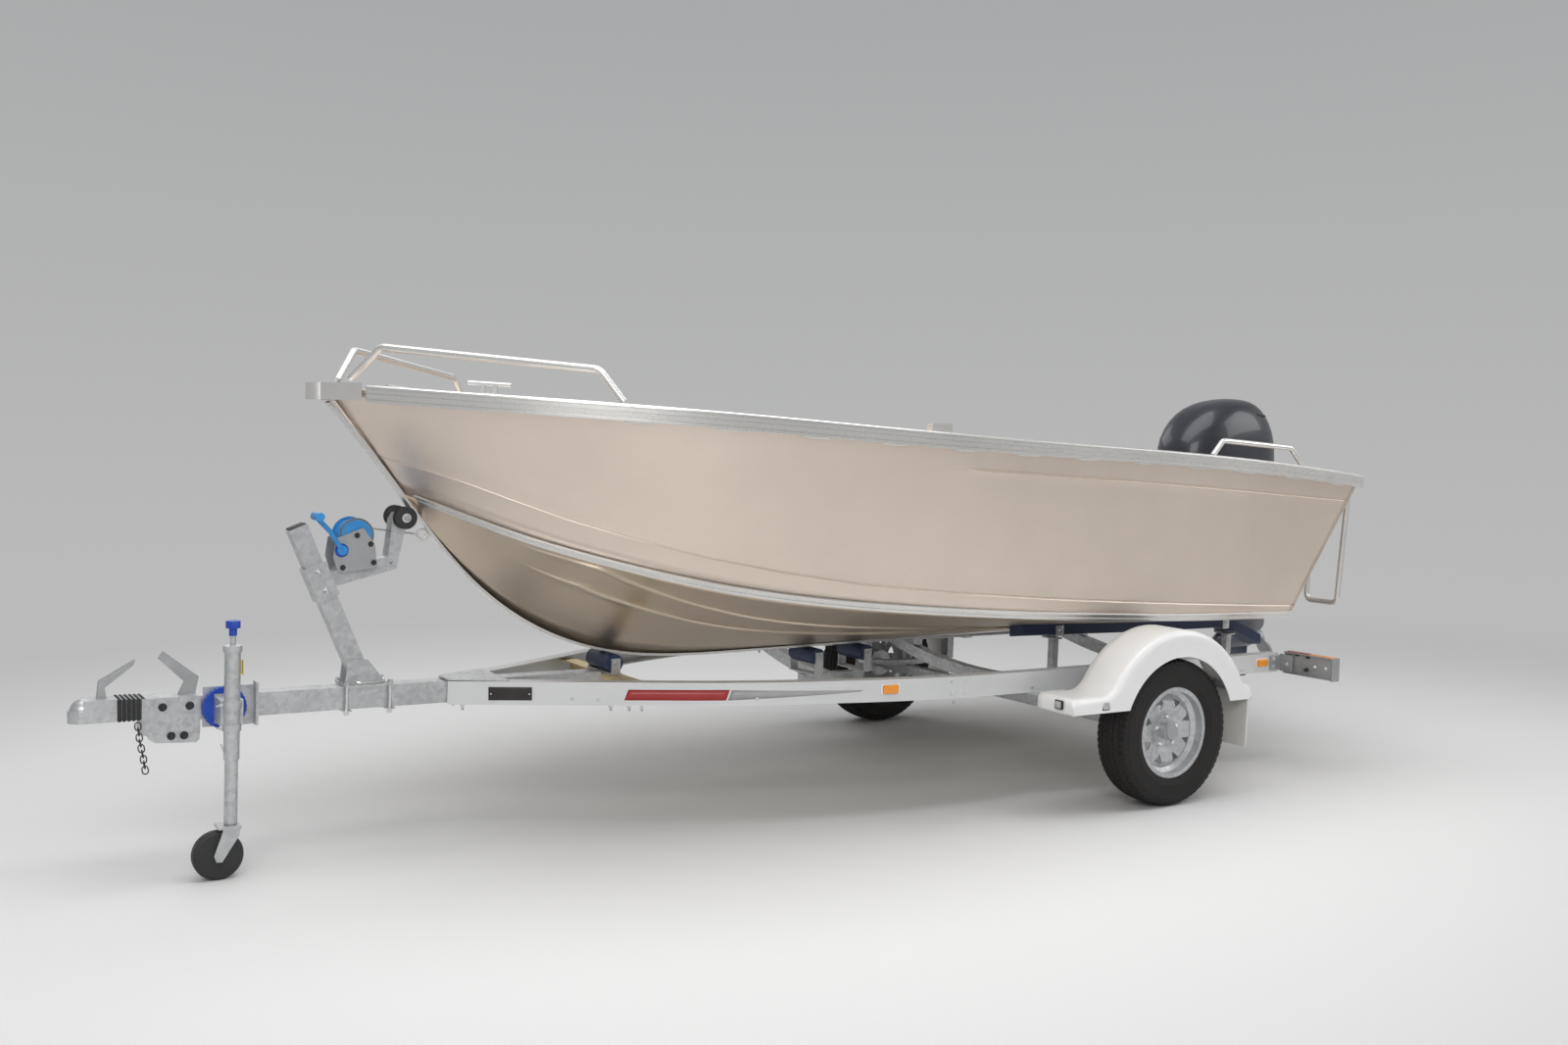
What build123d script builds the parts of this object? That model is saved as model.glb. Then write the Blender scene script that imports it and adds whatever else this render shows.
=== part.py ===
from build123d import *
import os
from math import cos, sin, tan, radians, hypot

# Open aluminium dinghy with an outboard motor, parked on its single-axle boat trailer.
# Millimetres. While modelling, X is forward from the axle, Y is to port and Z is up from the floor.
# At export everything moves along X so that the origin lies under the middle of the bounding box.

# ---------------------------------------------------------------- driving sizes
# wheels
tyre_radius = 288.5
tyre_width = 157
rim_radius = 165
rim_flange_radius = rim_radius + 12
track_half = 938
# trailer frame
trailer_pitch = 1.014          # degrees, nose up, about the axle
rail_outer_y = 720
rail_height = 81
rail_flange = 50
rail_wall = 5
rail_top_z = tyre_radius + 225.5 # over the axle
rail_rear_x = -955
rail_bend_x = 660
rail_bend_radius = 2600
rail_bend_angle = 28.06
rail_knee_x = 1310              # from here on the rail's top falls toward the nose
rail_nose_x = 2578
rail_nose_drop = 17.5
bar_size = 75                  # square drawbar
bar_wall = 4
bar_top_z = rail_top_z - rail_nose_drop
bar_rear_x = 1990
bar_front_x = 3470
# hull
stern_x = -990                 # keel at the transom
transom_rake = 0.40            # run of the transom per unit of height
keel_z = 572
keel_rise_x = 1350
keel_rise = 0.2149
keel_rise_power = 3.36
stem_foot_x = 2720             # where the chines meet the stem
sheet = 3
bottom_sheet = 4
keel_bar_width = 50
keel_bar_depth = 10
keel_seat = 0.7
gunwale_top = 16               # above the edge of the side sheet
gunwale_depth = 56
gunwale_out = 22
gunwale_in = 32
gunwale_seat = 2.5             # its underside above the edge of the side sheet
gunwale_skirt_gap = 5
# outboard motor
motor_x = -1322                # steering axis
motor_top_z = 1626
propeller_x = -1668
propeller_z = 430
propeller_radius = 140
shaft_radius = 9
# jockey wheel
jockey_x = 3315
jockey_y = 166
jockey_wheel_radius = 76
jockey_trail = 46
fit = 0.3                      # gap between curved faces that meet
seam = 5                       # side and bottom sheets stop short of the chine line
keel_gap = 3
chine_lip = 5
chine_depth = 31
chine_out = 8
transom_sheet = 5
transom_cut_z = 1100
well_half = 340
well_half_top = 470
pad_half = 300
pad_low_z = 760
pad_thick = 38
drain_y = 140
drain_height = 58
drain_radius = 11
floor_z = 715
floor_thick = 4
floor_front_x = 1800
seat_clear = 15
seat_sheet = 3
seats = {"rear_seat": (-640, -340, 1005), "middle_seat": (330, 630, 1010), "front_seat": (1290, 1580, 1020)}
bow_deck_x = 2150
bow_deck_z = 1330
deck_clear = 12.4
rail_tube = 25
rowlock_place = (1095, 876, 1434)
rowlock_bore = 6.5
rowlock_floor = 6
bow_eye_x = 2618
bow_eye_z = 1050
tilt_x = -1175                 # tilt tube
tilt_z = 1150
tilt_pin = 11
cheek_inner = 62
cheek_thick = 16
swivel_half = 55
steer_pin = 20
steer_low_z = 800
steer_top_z = 1176
pin_fit = 0.05
pan_low_z = 1215
cowl_low_z = 1290
cowl_wall = 5
plate_z = 600                  # anti-ventilation plate
skeg_z = 240
rim_width = 118
hub_radius = 62
axle_size = 45
bearing_radius = 20
spring_half = 250
spring_width = 45
guard_clear = 17.5             # beside the tyre
guard_gap = 113.5              # over the tyre
guard_skirt_gap = 11.5         # skirt's opening beyond the tyre
guard_wall = 4
guard_inner_y = track_half - tyre_width / 2 - guard_clear
guard_outer_y = track_half + tyre_width / 2 + guard_clear + 2
guard_radius = tyre_radius + guard_gap
guard_opening = tyre_radius + guard_skirt_gap
guard_shelf_z = tyre_radius + 169.5
guard_apron = 58
guard_front_x = guard_radius + 170
guard_rear_x = 4 - guard_radius
crossmember_xs = [850, 130, -930]
crossmember_size = 50
crossmember_dip = 107
crossmember_wall = 3
crossmember_drop = rail_wall + 2 # under the rails' upper faces, at the ends
gusset_length = 190
roller_radius = 33
rocker_xs = (1050, 810)          # the pair of keel rollers on one beam
rocker_width = 40
rocker_depth = 30
rear_roller_x = -930
keel_roller_length = 170
roller_pin = 8
front_roller_x = 1955
front_roller = (180, roller_radius + 2)   # length, and drop from its pin to its seat
skid_y = 450
skid_width = 80
skid_depth = 46
skid_front_x = 330
skid_rear_x = -900
skid_tail_x = -1120
skid_tail_drop = 88
skid_gap = 1.8
skid_post_xs = (130, -930)
lamp_ys = (738, 990)
lamp_zs = (425, 527)
winch_foot = (2860, 497)
winch_head = (3089, 1031)
winch_post_size = 60
bow_roller_radius = 38
bow_pin_radius = 7
jockey_pivot_z = 519           # above the floor
jockey_leg_radius = 20
jockey_tube_wall = 4
jockey_tube_radius = jockey_leg_radius + jockey_tube_wall
jockey_tube_low = 374
jockey_tube_top = 722
jockey_leg_low = 160
jockey_leg_top = 470
jockey_disc_radius = 66
jockey_wheel_width = 44
coupling_ball = 25
coupling_reach = 252           # ball centre ahead of the drawbar's end
coupling_centre_x = bar_front_x + coupling_reach
coupling_low_z = 432

parts = {}
level_parts = {}               # trailer pieces, before the parked pitch


def body_of(*shapes):
    """Solids gathered as one node's shape."""
    solids = []
    for shape in shapes:
        solids += list(shape.solids())
    return solids[0] if len(solids) == 1 else Compound(solids)


def block(x0, x1, y0, y1, z0, z1):
    return Pos((x0 + x1) / 2, (y0 + y1) / 2, (z0 + z1) / 2) * Box(x1 - x0, y1 - y0, z1 - z0)


def rod(start, end, radius, bore=0):
    """A round bar or tube between two points."""
    start, end = Vector(*start), Vector(*end)
    plane = Plane(origin=start, z_dir=end - start)
    section = Circle(radius)
    if bore:
        section -= Circle(bore)
    return extrude(plane * section, (end - start).length)


def bent(points, bends, radius, bore=0):
    """A round tube along straight runs joined by arcs."""
    path = FilletPolyline(*points, radius=bends)
    start = Plane(origin=path @ 0, z_dir=path % 0)
    section = Circle(radius)
    if bore:
        section -= Circle(bore)
    return sweep(start * section, path=path)


def slab(points, y0, y1):
    """A side-view outline (x, z) with a thickness across the boat."""
    outline = make_face(Polyline(*[(x, 0, z) for x, z in points], close=True))
    solid = extrude(outline, y1 - y0, dir=(0, 1, 0))
    return Pos(0, y0, 0) * solid


def bar_across(points, x0, x1):
    """An end-view outline (y, z) with a length along the boat."""
    outline = make_face(Polyline(*[(0, y, z) for y, z in points], close=True))
    return Pos(x0, 0, 0) * extrude(outline, x1 - x0, dir=(1, 0, 0))


def plan(points, z0, z1):
    """A plan outline (x, y) with a height."""
    outline = make_face(Polyline(*[(x, y, 0) for x, y in points], close=True))
    return Pos(0, 0, z0) * extrude(outline, z1 - z0, dir=(0, 0, 1))


def square_tube(start, end, size, wall, depth=None):
    """A square or oblong tube in the side plane, from start to end (x, z), centred on Y."""
    depth = depth or size
    (x0, z0), (x1, z1) = start, end
    length = hypot(x1 - x0, z1 - z0)
    plane = Plane(origin=(x0, 0, z0), x_dir=(0, 1, 0), z_dir=(x1 - x0, 0, z1 - z0))
    section = Rectangle(size, depth) - Rectangle(size - 2 * wall, depth - 2 * wall)
    return extrude(plane * section, length)


def both(shape):
    """The shape and its mirror image on the other side of the centreline."""
    return [shape, mirror(shape, Plane.XZ)]


def pitched(shape):
    """From the trailer's own level frame to its parked pitch, nose up about the axle."""
    axle = Axis((0, 0, tyre_radius), (0, 1, 0))
    return shape.rotate(axle, -trailer_pitch)


# ---------------------------------------------------------------- hull lines
chine_points = [
    (-1024, 712, 657), (-255, 745, 686), (597, 742, 742), (1214, 706, 798),
    (1730, 612, 868), (2112, 480, 955), (2453, 285, 1066), (2640, 120, 1150), (2716, 14, 1186),
]
gunwale_points = [
    (-1268, 865, 1266), (-600, 890, 1327), (0, 902, 1364), (600, 904, 1393), (1125, 898, 1420),
    (1700, 852, 1456), (2080, 770, 1480), (2400, 618, 1500), (2650, 420, 1516), (2850, 205, 1532), (2982, 10, 1542),
]
chine_line = Spline(*chine_points)
gunwale_line = Spline(*gunwale_points)


def keel_point(t, y=0):
    x = stern_x + t * (stem_foot_x - stern_x)
    return Vector(x, y, keel_z + keel_rise * max(0, (x - keel_rise_x) / 1000) ** keel_rise_power * 1000)


def at_x(line, x):
    """The point of a hull line at a given x."""
    low, high = 0.0, 1.0
    for _ in range(24):
        middle = (low + high) / 2
        if (line @ middle).X < x:
            low = middle
        else:
            high = middle
    return line @ low


def half_breadth(x, z):
    """Half the hull's breadth at a place, from its three lines."""
    keel = keel_point((x - stern_x) / (stem_foot_x - stern_x)).Z
    chine = at_x(chine_line, x)
    gunwale = at_x(gunwale_line, x)
    if z < chine.Z:
        return chine.Y * max(0, z - keel) / (chine.Z - keel)
    return chine.Y + (gunwale.Y - chine.Y) * (z - chine.Z) / (gunwale.Z - chine.Z)


def inner_breadth(x, z):
    """Half the clear breadth inside the sheets, less the clearance of what is fitted there."""
    return half_breadth(x, z - bottom_sheet - 2) - seat_clear


def hull_frame(t):
    """Chine point, unit vector up the side and unit vector outward, at station t."""
    low, high = chine_line @ t, gunwale_line @ t
    along = (chine_line % t).normalized()
    up = (high - low).normalized()
    out = along.cross(up).normalized()
    return low, high, up, out if out.Y > 0 else -out


def side_strip(t):
    low, high, up, out = hull_frame(t)
    start = low + up * seam
    return [start, high, high - out * sheet, start - out * sheet]


def bottom_strip(t):
    keel, chine = keel_point(t, keel_gap), chine_line @ t
    across = (chine - keel).normalized()
    along = (keel_point(min(1, t + 0.01)) - keel_point(max(0, t - 0.01))).normalized()
    up = along.cross(across).normalized()
    up = up if up.Z > 0 else -up
    end = chine - across * seam / 2
    return [keel, end, end + up * bottom_sheet, keel + up * bottom_sheet]


def chine_strip(t):
    low, high, up, out = hull_frame(t)
    foot = low - up * chine_lip + out * (fit + 0.5)
    return [foot, foot + up * chine_depth, foot + up * chine_depth + out * chine_out, foot + out * chine_out]


def gunwale_strip(t):
    high = gunwale_line @ t
    along = gunwale_line % t
    out = Vector(-along.Y, along.X, 0).normalized()
    out = out if out.Y > 0 else -out
    up = Vector(0, 0, 1)
    low, seat, skirt = gunwale_top - gunwale_depth, gunwale_seat, gunwale_skirt_gap
    shape = [(-gunwale_in, seat), (-gunwale_in, gunwale_top), (gunwale_out, gunwale_top),
             (gunwale_out, low), (skirt, low), (skirt, seat)]
    return [high + out * across + up * rise for across, rise in shape]


def lofted(strip, stations):
    return loft([make_face(Polyline(*strip(t), close=True)) for t in stations])


def build_hull():
    stations = [0, 0.04, 0.1, 0.2, 0.35, 0.5, 0.6, 0.68, 0.75, 0.81, 0.86, 0.9, 0.93, 0.96]
    side = lofted(side_strip, stations + [1])
    for name, half in zip(("port", "starboard"), both(side)):
        parts[f"hull_side_{name}"] = half
    parts["hull_bottom"] = body_of(*both(lofted(bottom_strip, stations + [0.985])))
    parts["chines"] = body_of(*both(lofted(chine_strip, stations + [0.985])))
    parts["gunwales"] = body_of(*both(lofted(gunwale_strip, stations)))


def cut_clear(shape, *others):
    """The shape less every solid of the others."""
    for other in others:
        for solid in other.solids():
            shape -= solid
    return shape


def build_keel():
    """The flat bar under the keel, bent up into the stem."""
    steps = 14
    under = [keel_point(i / steps) for i in range(steps + 1)]
    under = [(p.X, p.Z) for p in under]
    stem_head = (2968, 1500)
    points = under + [stem_head]
    inner, outer = [], []
    for i, (x, z) in enumerate(points):
        ahead = points[min(i + 1, len(points) - 1)]
        behind = points[max(i - 1, 0)]
        run, climb = ahead[0] - behind[0], ahead[1] - behind[1]
        size = hypot(run, climb)
        inner.append((x + climb / size * keel_seat, z - run / size * keel_seat))
        outer.append((x + climb / size * keel_bar_depth, z - run / size * keel_bar_depth))
    top = Spline(*[(x, 0, z) for x, z in inner])
    low = Spline(*[(x, 0, z) for x, z in outer])
    ends = [Line(top @ 0, low @ 0), Line(top @ 1, low @ 1)]
    outline = make_face([top, low] + ends)
    bar = extrude(outline, keel_bar_width, dir=(0, 1, 0))
    bar = Pos(0, -keel_bar_width / 2, 0) * bar
    parts["keel_bar"] = cut_clear(bar, parts["hull_bottom"])


def build_transom():
    slope = hypot(1, transom_rake)
    plane = Plane(origin=(stern_x - 2 * fit, 0, keel_z), x_dir=(0, 1, 0), z_dir=(1, 0, transom_rake))
    chine, gunwale = chine_line @ 0, gunwale_line @ 0
    half = [(0, 0), (chine.Y, (chine.Z - keel_z) * slope), (gunwale.Y, (gunwale.Z - keel_z) * slope),
            (well_half_top, (gunwale.Z - keel_z) * slope), (well_half, (transom_cut_z - keel_z) * slope)]
    outline = half + [(-y, s) for y, s in reversed(half[1:])]
    sheet_face = make_face(Polyline(*outline, close=True))
    plate = extrude(plane * sheet_face, -transom_sheet)
    low, top = (pad_low_z - keel_z) * slope, (transom_cut_z - keel_z) * slope
    pad_face = Pos(0, (low + top) / 2) * Rectangle(2 * pad_half, top - low)
    pad = extrude(plane * pad_face, pad_thick)
    pad &= block(-2000, 0, -2 * pad_half, 2 * pad_half, 0, transom_cut_z)
    drain = plane * Pos(drain_y, drain_height) * Circle(drain_radius)
    parts["transom"] = plate + pad - extrude(drain, 40, both=True)


def thwart(x0, x1, top):
    """A pressed bench: a top sheet on two upright faces, fitted to the hull's sides."""
    foot = floor_z + floor_thick
    ends = [(x, inner_breadth(x, top - seat_sheet)) for x in (x0, x1)]
    pieces = plan([(x, y) for x, y in ends] + [(x, -y) for x, y in reversed(ends)], top - seat_sheet, top)
    for x in (x0, x1 - seat_sheet):
        near = min((x, x + seat_sheet), key=lambda place: half_breadth(place, foot))
        low, high = inner_breadth(near, foot), inner_breadth(near, top - seat_sheet)
        outline = [(-low, foot), (low, foot), (high, top - seat_sheet), (-high, top - seat_sheet)]
        pieces += bar_across(outline, x, x + seat_sheet)
    return pieces


def build_interior():
    places = [stern_x + 15, -400, 200, 700, 1150, 1500, floor_front_x]
    edge = [(x, inner_breadth(x, floor_z)) for x in places]
    parts["floor"] = plan(edge + [(x, -y) for x, y in reversed(edge)], floor_z, floor_z + floor_thick)
    for name, (x0, x1, top) in seats.items():
        parts[name] = thwart(x0, x1, top)
    places = [bow_deck_x, 2350, 2550, 2680, 2760]
    edge = [(x, inner_breadth(x, bow_deck_z) + seat_clear - deck_clear) for x in places]
    deck = plan(edge + [(x, -y) for x, y in reversed(edge)], bow_deck_z, bow_deck_z + 3)
    lip_half = inner_breadth(bow_deck_x, bow_deck_z - 40)
    deck += block(bow_deck_x, bow_deck_x + 3, -lip_half, lip_half, bow_deck_z - 40, bow_deck_z)
    parts["bow_deck"] = deck


def build_bow_cap():
    """The cast corner block that joins the two gunwales at the stem."""
    tail, side, nose = 2912, 176, 3043
    outline = make_face([
        Line((tail, -side, 0), (tail, side, 0)), Line((tail, side, 0), (nose - 34, 48, 0)),
        ThreePointArc((nose - 34, 48, 0), (nose, 0, 0), (nose - 34, -48, 0)), Line((nose - 34, -48, 0), (tail, -side, 0)),
    ])
    top_z = (gunwale_line @ 1).Z + gunwale_top + 1
    cap = Pos(0, 0, top_z - 15) * extrude(outline, 15)
    skirt = Pos(0, 0, top_z - gunwale_depth) * extrude(outline, gunwale_depth - 15)
    inside = plan([(tail - 1, -side + 26), (tail - 1, side - 26), (2994, 26), (2994, -26)],
                  top_z - gunwale_depth - 1, top_z - 15)
    parts["bow_cap"] = cap + skirt - inside


def build_rails():
    foot, apex = Vector(2920, 72, 1572), Vector(2842, 150, 1676)
    bend, tail = Vector(2300, 655, 1612), Vector(2236, 700, 1512)
    tube = bent([foot, apex, bend, tail], [38, 45], rail_tube / 2)
    parts["bow_rails"] = body_of(*both(cut_clear(tube, parts["gunwales"], parts["bow_cap"])))
    tube = bent([(-330, 858, 1362), (-395, 852, 1422), (-830, 842, 1396), (-905, 842, 1325)], [30, 30], 11)
    parts["stern_rails"] = body_of(*both(cut_clear(tube, parts["gunwales"])))


def build_fittings():
    x, y, z = 2590, 455, 1526
    base = block(-30, 30, -14, 14, 0, 6)
    horn = rod((-70, 0, 34), (70, 0, 34), 7)
    legs = block(-26, -14, -6, 6, 6, 34) + block(14, 26, -6, 6, 6, 34)
    cleat = Pos(x, y, z) * Rot(0, -3.5, -38) * (base + horn + legs)
    x, y, z = rowlock_place
    socket = block(-45, 45, -15, 15, 0, 30) - rod((0, 0, rowlock_floor), (0, 0, 31), rowlock_bore)
    fittings = [cut_clear(fitting, parts["gunwales"]) for fitting in (cleat, Pos(x, y, z) * socket)]
    parts["gunwale_fittings"] = body_of(*both(fittings[0]), *both(fittings[1]))
    eye = rod((bow_eye_x - 4, 0, bow_eye_z), (bow_eye_x + 18, 0, bow_eye_z), 6)
    ring = Pos(bow_eye_x + 34, 0, bow_eye_z) * Rot(90, 0, 0) * Torus(16, 5)
    eye = cut_clear(eye + ring, parts["keel_bar"], parts["hull_bottom"])
    parts["bow_eye"] = max(eye.solids(), key=lambda solid: solid.volume)
    frame = bent([(-1225, 790, 1241), (-1300, 790, 1215), (-1290, 760, 705), (-1290, 600, 705),
                  (-1300, 600, 1215), (-1225, 600, 1241)], [18, 30, 30, 18], 12)
    parts["boarding_step"] = max(cut_clear(frame, parts["transom"]).solids(), key=lambda solid: solid.volume)


def transom_x(z, ahead=0):
    """The transom's outer face at a height, or a plane ahead of it."""
    return stern_x - transom_rake * (z - keel_z) + ahead * hypot(1, transom_rake)


def oval(x0, x1, width, z, corner=0.46):
    """A rounded plan outline from x0 to x1 at one height."""
    return Pos((x0 + x1) / 2, 0, z) * RectangleRounded(x1 - x0, width, corner * min(width, x1 - x0))


def build_outboard():
    aft, ahead = -transom_sheet - 3 * fit, pad_thick
    front = ahead + 26
    cheeks = []
    for side in (1, -1):
        outline = [
            (transom_x(1030, front), 1030), (transom_x(1030, ahead), 1030), (transom_x(1104, ahead), 1104),
            (transom_x(1104, aft), 1104), (transom_x(860, aft), 860), (transom_x(860, aft) - 55, 860),
            (transom_x(1104, aft) - 60, 1090), (tilt_x - 26, tilt_z + 24), (tilt_x + 22, tilt_z + 24),
        ]
        y0, y1 = sorted((side * cheek_inner, side * (cheek_inner + cheek_thick)))
        cheeks.append(slab(outline, y0, y1))
    reach = cheek_inner + cheek_thick
    pin = rod((tilt_x, -reach, tilt_z), (tilt_x, reach, tilt_z), tilt_pin)
    parts["clamp_bracket"] = body_of(cheeks[0] + cheeks[1] + pin)

    barrel = rod((tilt_x, -swivel_half, tilt_z), (tilt_x, swivel_half, tilt_z), 24)
    arm = slab([(tilt_x, tilt_z + 24), (motor_x, steer_top_z), (motor_x, 1030), (tilt_x - 70, 1112),
                (tilt_x, tilt_z - 24)], -swivel_half + 12, swivel_half - 12)
    spine = rod((motor_x, 0, steer_low_z), (motor_x, 0, steer_top_z), 34)
    bracket = barrel + arm + spine
    bracket -= rod((tilt_x, -90, tilt_z), (tilt_x, 90, tilt_z), tilt_pin + pin_fit)
    bracket -= rod((motor_x, 0, steer_low_z - 5), (motor_x, 0, steer_top_z + 5), steer_pin + pin_fit)
    parts["swivel_bracket"] = bracket

    leg_front = motor_x - 42
    yoke_top = block(leg_front - 30, motor_x + 30, -34, 34, steer_top_z + 5, pan_low_z)
    yoke_low = block(leg_front - 30, motor_x + 30, -30, 30, steer_low_z - 35, steer_low_z - 5)
    pin = rod((motor_x, 0, steer_low_z - 20), (motor_x, 0, pan_low_z - 5), steer_pin)
    column = loft([oval(leg_front - 200, leg_front, 118, pan_low_z), oval(leg_front - 215, leg_front, 92, 900),
                   oval(leg_front - 235, leg_front - 8, 66, plate_z)])
    leg = yoke_top + yoke_low + pin + column
    leg += extrude(oval(propeller_x - 74, leg_front - 2, 176, plate_z - 4, 0.3), 9)
    strut = loft([oval(leg_front - 225, leg_front - 14, 58, plate_z - 2), oval(leg_front - 240, leg_front - 30, 62, 470)])
    nose_x, tail_x, torpedo = leg_front - 2, propeller_x + 42, 46
    profile = make_face([
        Line((tail_x, 0, 0), (nose_x, 0, 0)), Spline((nose_x, 0, 0), (nose_x - 40, 0, 34), (nose_x - 110, 0, torpedo)),
        Line((nose_x - 110, 0, torpedo), (tail_x, 0, torpedo - 6)), Line((tail_x, 0, torpedo - 6), (tail_x, 0, 0)),
    ])
    leg += strut + Pos(0, 0, propeller_z) * revolve(profile, Axis.X)
    leg += slab([(nose_x - 60, propeller_z - 30), (tail_x + 6, propeller_z - 30), (tail_x + 10, skeg_z),
                 (tail_x + 60, skeg_z), (nose_x - 90, propeller_z - 60)], -6, 6)
    shaft_end = propeller_x - 50
    leg += rod((tail_x + 5, 0, propeller_z), (shaft_end, 0, propeller_z), shaft_radius)
    parts["motor_leg"] = leg

    hub = rod((propeller_x + 40, 0, propeller_z), (propeller_x - 45, 0, propeller_z), 36)
    blades = hub
    for angle in (0, 120, 240):
        blade = Pos(0, 0, 84) * extrude(Plane.YZ * Ellipse(52, 56), 5, both=True)
        blades += Pos(propeller_x, 0, propeller_z) * Rot(angle, 0, 0) * (Rot(0, 0, 28) * blade)
    parts["propeller"] = blades - rod((tail_x, 0, propeller_z), (shaft_end, 0, propeller_z), shaft_radius + pin_fit)

    sizes = [(-1022, -1676, 366, cowl_low_z), (-1016, -1672, 374, 1385), (-1042, -1645, 356, 1480),
             (-1120, -1590, 300, 1562), (-1225, -1535, 215, 1606), (-1300, -1480, 100, motor_top_z)]
    shell = loft([oval(x1, x0, width, z) for x0, x1, width, z in sizes])
    room = loft([oval(x1 + cowl_wall, x0 - cowl_wall, width - 2 * cowl_wall, z - (cowl_wall if i else 0.5))
                 for i, (x0, x1, width, z) in enumerate(sizes[:-1])])
    parts["cowl"] = shell - room
    pan = loft([oval(-1610, -1075, 250, pan_low_z), oval(-1650, -1040, 330, 1245), oval(-1676, -1022, 366, cowl_low_z - fit)])
    parts["motor_pan"] = pan
    parts["engine_block"] = block(-1480, -1240, -120, 120, cowl_low_z, cowl_low_z + 250)


# ---------------------------------------------------------------- trailer
def level(x, z):
    """A place given on the parked trailer, in the trailer's own level frame."""
    turn = radians(trailer_pitch)
    return (x * cos(turn) + (z - tyre_radius) * sin(turn), tyre_radius - x * sin(turn) + (z - tyre_radius) * cos(turn))


def rail_edge(inset):
    """The rail's plan line, inset from its outer face: rear, bend, arc end and nose."""
    turn = radians(rail_bend_angle)
    radius = rail_bend_radius - inset
    centre_y = rail_outer_y - rail_bend_radius
    arc_end = (rail_bend_x + radius * sin(turn), centre_y + radius * cos(turn))
    outer_end_x = rail_bend_x + rail_bend_radius * sin(turn)
    run = (rail_nose_x - outer_end_x) / cos(turn)
    middle = (rail_bend_x + radius * sin(turn / 2), centre_y + radius * cos(turn / 2))
    nose = (arc_end[0] + run * cos(turn), arc_end[1] - run * sin(turn))
    return (rail_rear_x, rail_outer_y - inset), (rail_bend_x, rail_outer_y - inset), middle, arc_end, nose


def rail_strip(inset, z0, z1):
    outer, inner = rail_edge(0), rail_edge(inset)
    edges = []
    for line in (outer, inner):
        rear, bend, middle, arc_end, nose = [(x, y, 0) for x, y in line]
        edges += [Line(rear, bend), ThreePointArc(bend, middle, arc_end), Line(arc_end, nose)]
    ends = [Line((*outer[0], 0), (*inner[0], 0)), Line((*outer[-1], 0), (*inner[-1], 0))]
    return Pos(0, 0, z0) * extrude(make_face(edges + ends), z1 - z0, dir=(0, 0, 1))


def rail_breadth(x):
    """Half the distance between the rails' outer faces."""
    turn = radians(rail_bend_angle)
    if x < rail_bend_x:
        return rail_outer_y
    arc_end_x = rail_bend_x + rail_bend_radius * sin(turn)
    arc_x = min(x, arc_end_x) - rail_bend_x
    drop = rail_bend_radius - (rail_bend_radius ** 2 - arc_x ** 2) ** 0.5
    return rail_outer_y - drop - max(0, x - arc_end_x) * tan(turn)


def rail_top(x):
    """The level of the rails' upper faces, which fall from the knee to the nose."""
    share = (x - rail_knee_x) / (rail_nose_x - rail_knee_x)
    return rail_top_z - rail_nose_drop * min(max(share, 0), 1)


def build_rails_and_bar():
    low = rail_top_z - rail_height - rail_nose_drop - 5
    ahead, behind = rail_nose_x + 20, rail_rear_x - 10
    def band(upper, lower):
        """The room between two depths under the rails' upper faces."""
        line = [(x, rail_top(x)) for x in (behind, rail_knee_x, rail_nose_x, ahead)]
        return slab([(x, z - upper) for x, z in line] + [(x, z - lower) for x, z in reversed(line)], 0, 800)
    web = rail_strip(rail_wall, low, rail_top_z + 5) & band(0, rail_height)
    wide = rail_strip(rail_flange, low, rail_top_z + 5)
    flanges = wide & band(0, rail_wall)
    flanges += wide & band(rail_height - rail_wall, rail_height)
    bar_room = bar_size / 2 + fit
    flanges -= block(bar_rear_x - 1, ahead, -rail_flange, bar_room, low - 10, rail_top_z + 10)
    for name, shape in zip(("port", "starboard"), both(web + flanges)):
        level_parts[f"side_rail_{name}"] = shape
    middle = bar_top_z - bar_size / 2
    bar = square_tube((bar_rear_x, middle), (bar_front_x, middle), bar_size, bar_wall)
    back = rail_nose_x - gusset_length
    outline = [(back, rail_breadth(back) - 8), (rail_nose_x, rail_breadth(rail_nose_x)), (rail_nose_x + 4, bar_size / 2)]
    outline += [(x, -y) for x, y in reversed(outline)]
    level_parts["drawbar"] = bar
    return plan(outline, rail_top(back) + fit, rail_top(back) + fit + 6)


def bow_rise(x, y):
    """How far a crossmember's curve has risen, at y, from its lowest place in the middle."""
    half = rail_breadth(x + crossmember_size / 2) - rail_wall - fit
    radius = (half ** 2 + crossmember_dip ** 2) / (2 * crossmember_dip)
    return radius - (radius ** 2 - y ** 2) ** 0.5


def bowed_bar(x):
    """A pressed crossmember that dips in the middle to clear the keel."""
    half = rail_breadth(x + crossmember_size / 2) - rail_wall - fit
    top = rail_top(x) - crossmember_drop

    def band(wall):
        """The bar's own curve, or with a wall the room inside it."""
        high, low = top - wall, top - crossmember_size + wall
        outline = make_face([
            ThreePointArc((0, -half, high), (0, 0, high - crossmember_dip), (0, half, high)),
            Line((0, half, high), (0, half, low)),
            ThreePointArc((0, half, low), (0, 0, low - crossmember_dip), (0, -half, low)),
            Line((0, -half, low), (0, -half, high)),
        ])
        width = crossmember_size - 2 * wall
        return Pos(x - width / 2, 0, 0) * extrude(outline, width, dir=(1, 0, 0))

    return band(0) - band(crossmember_wall)


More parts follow.
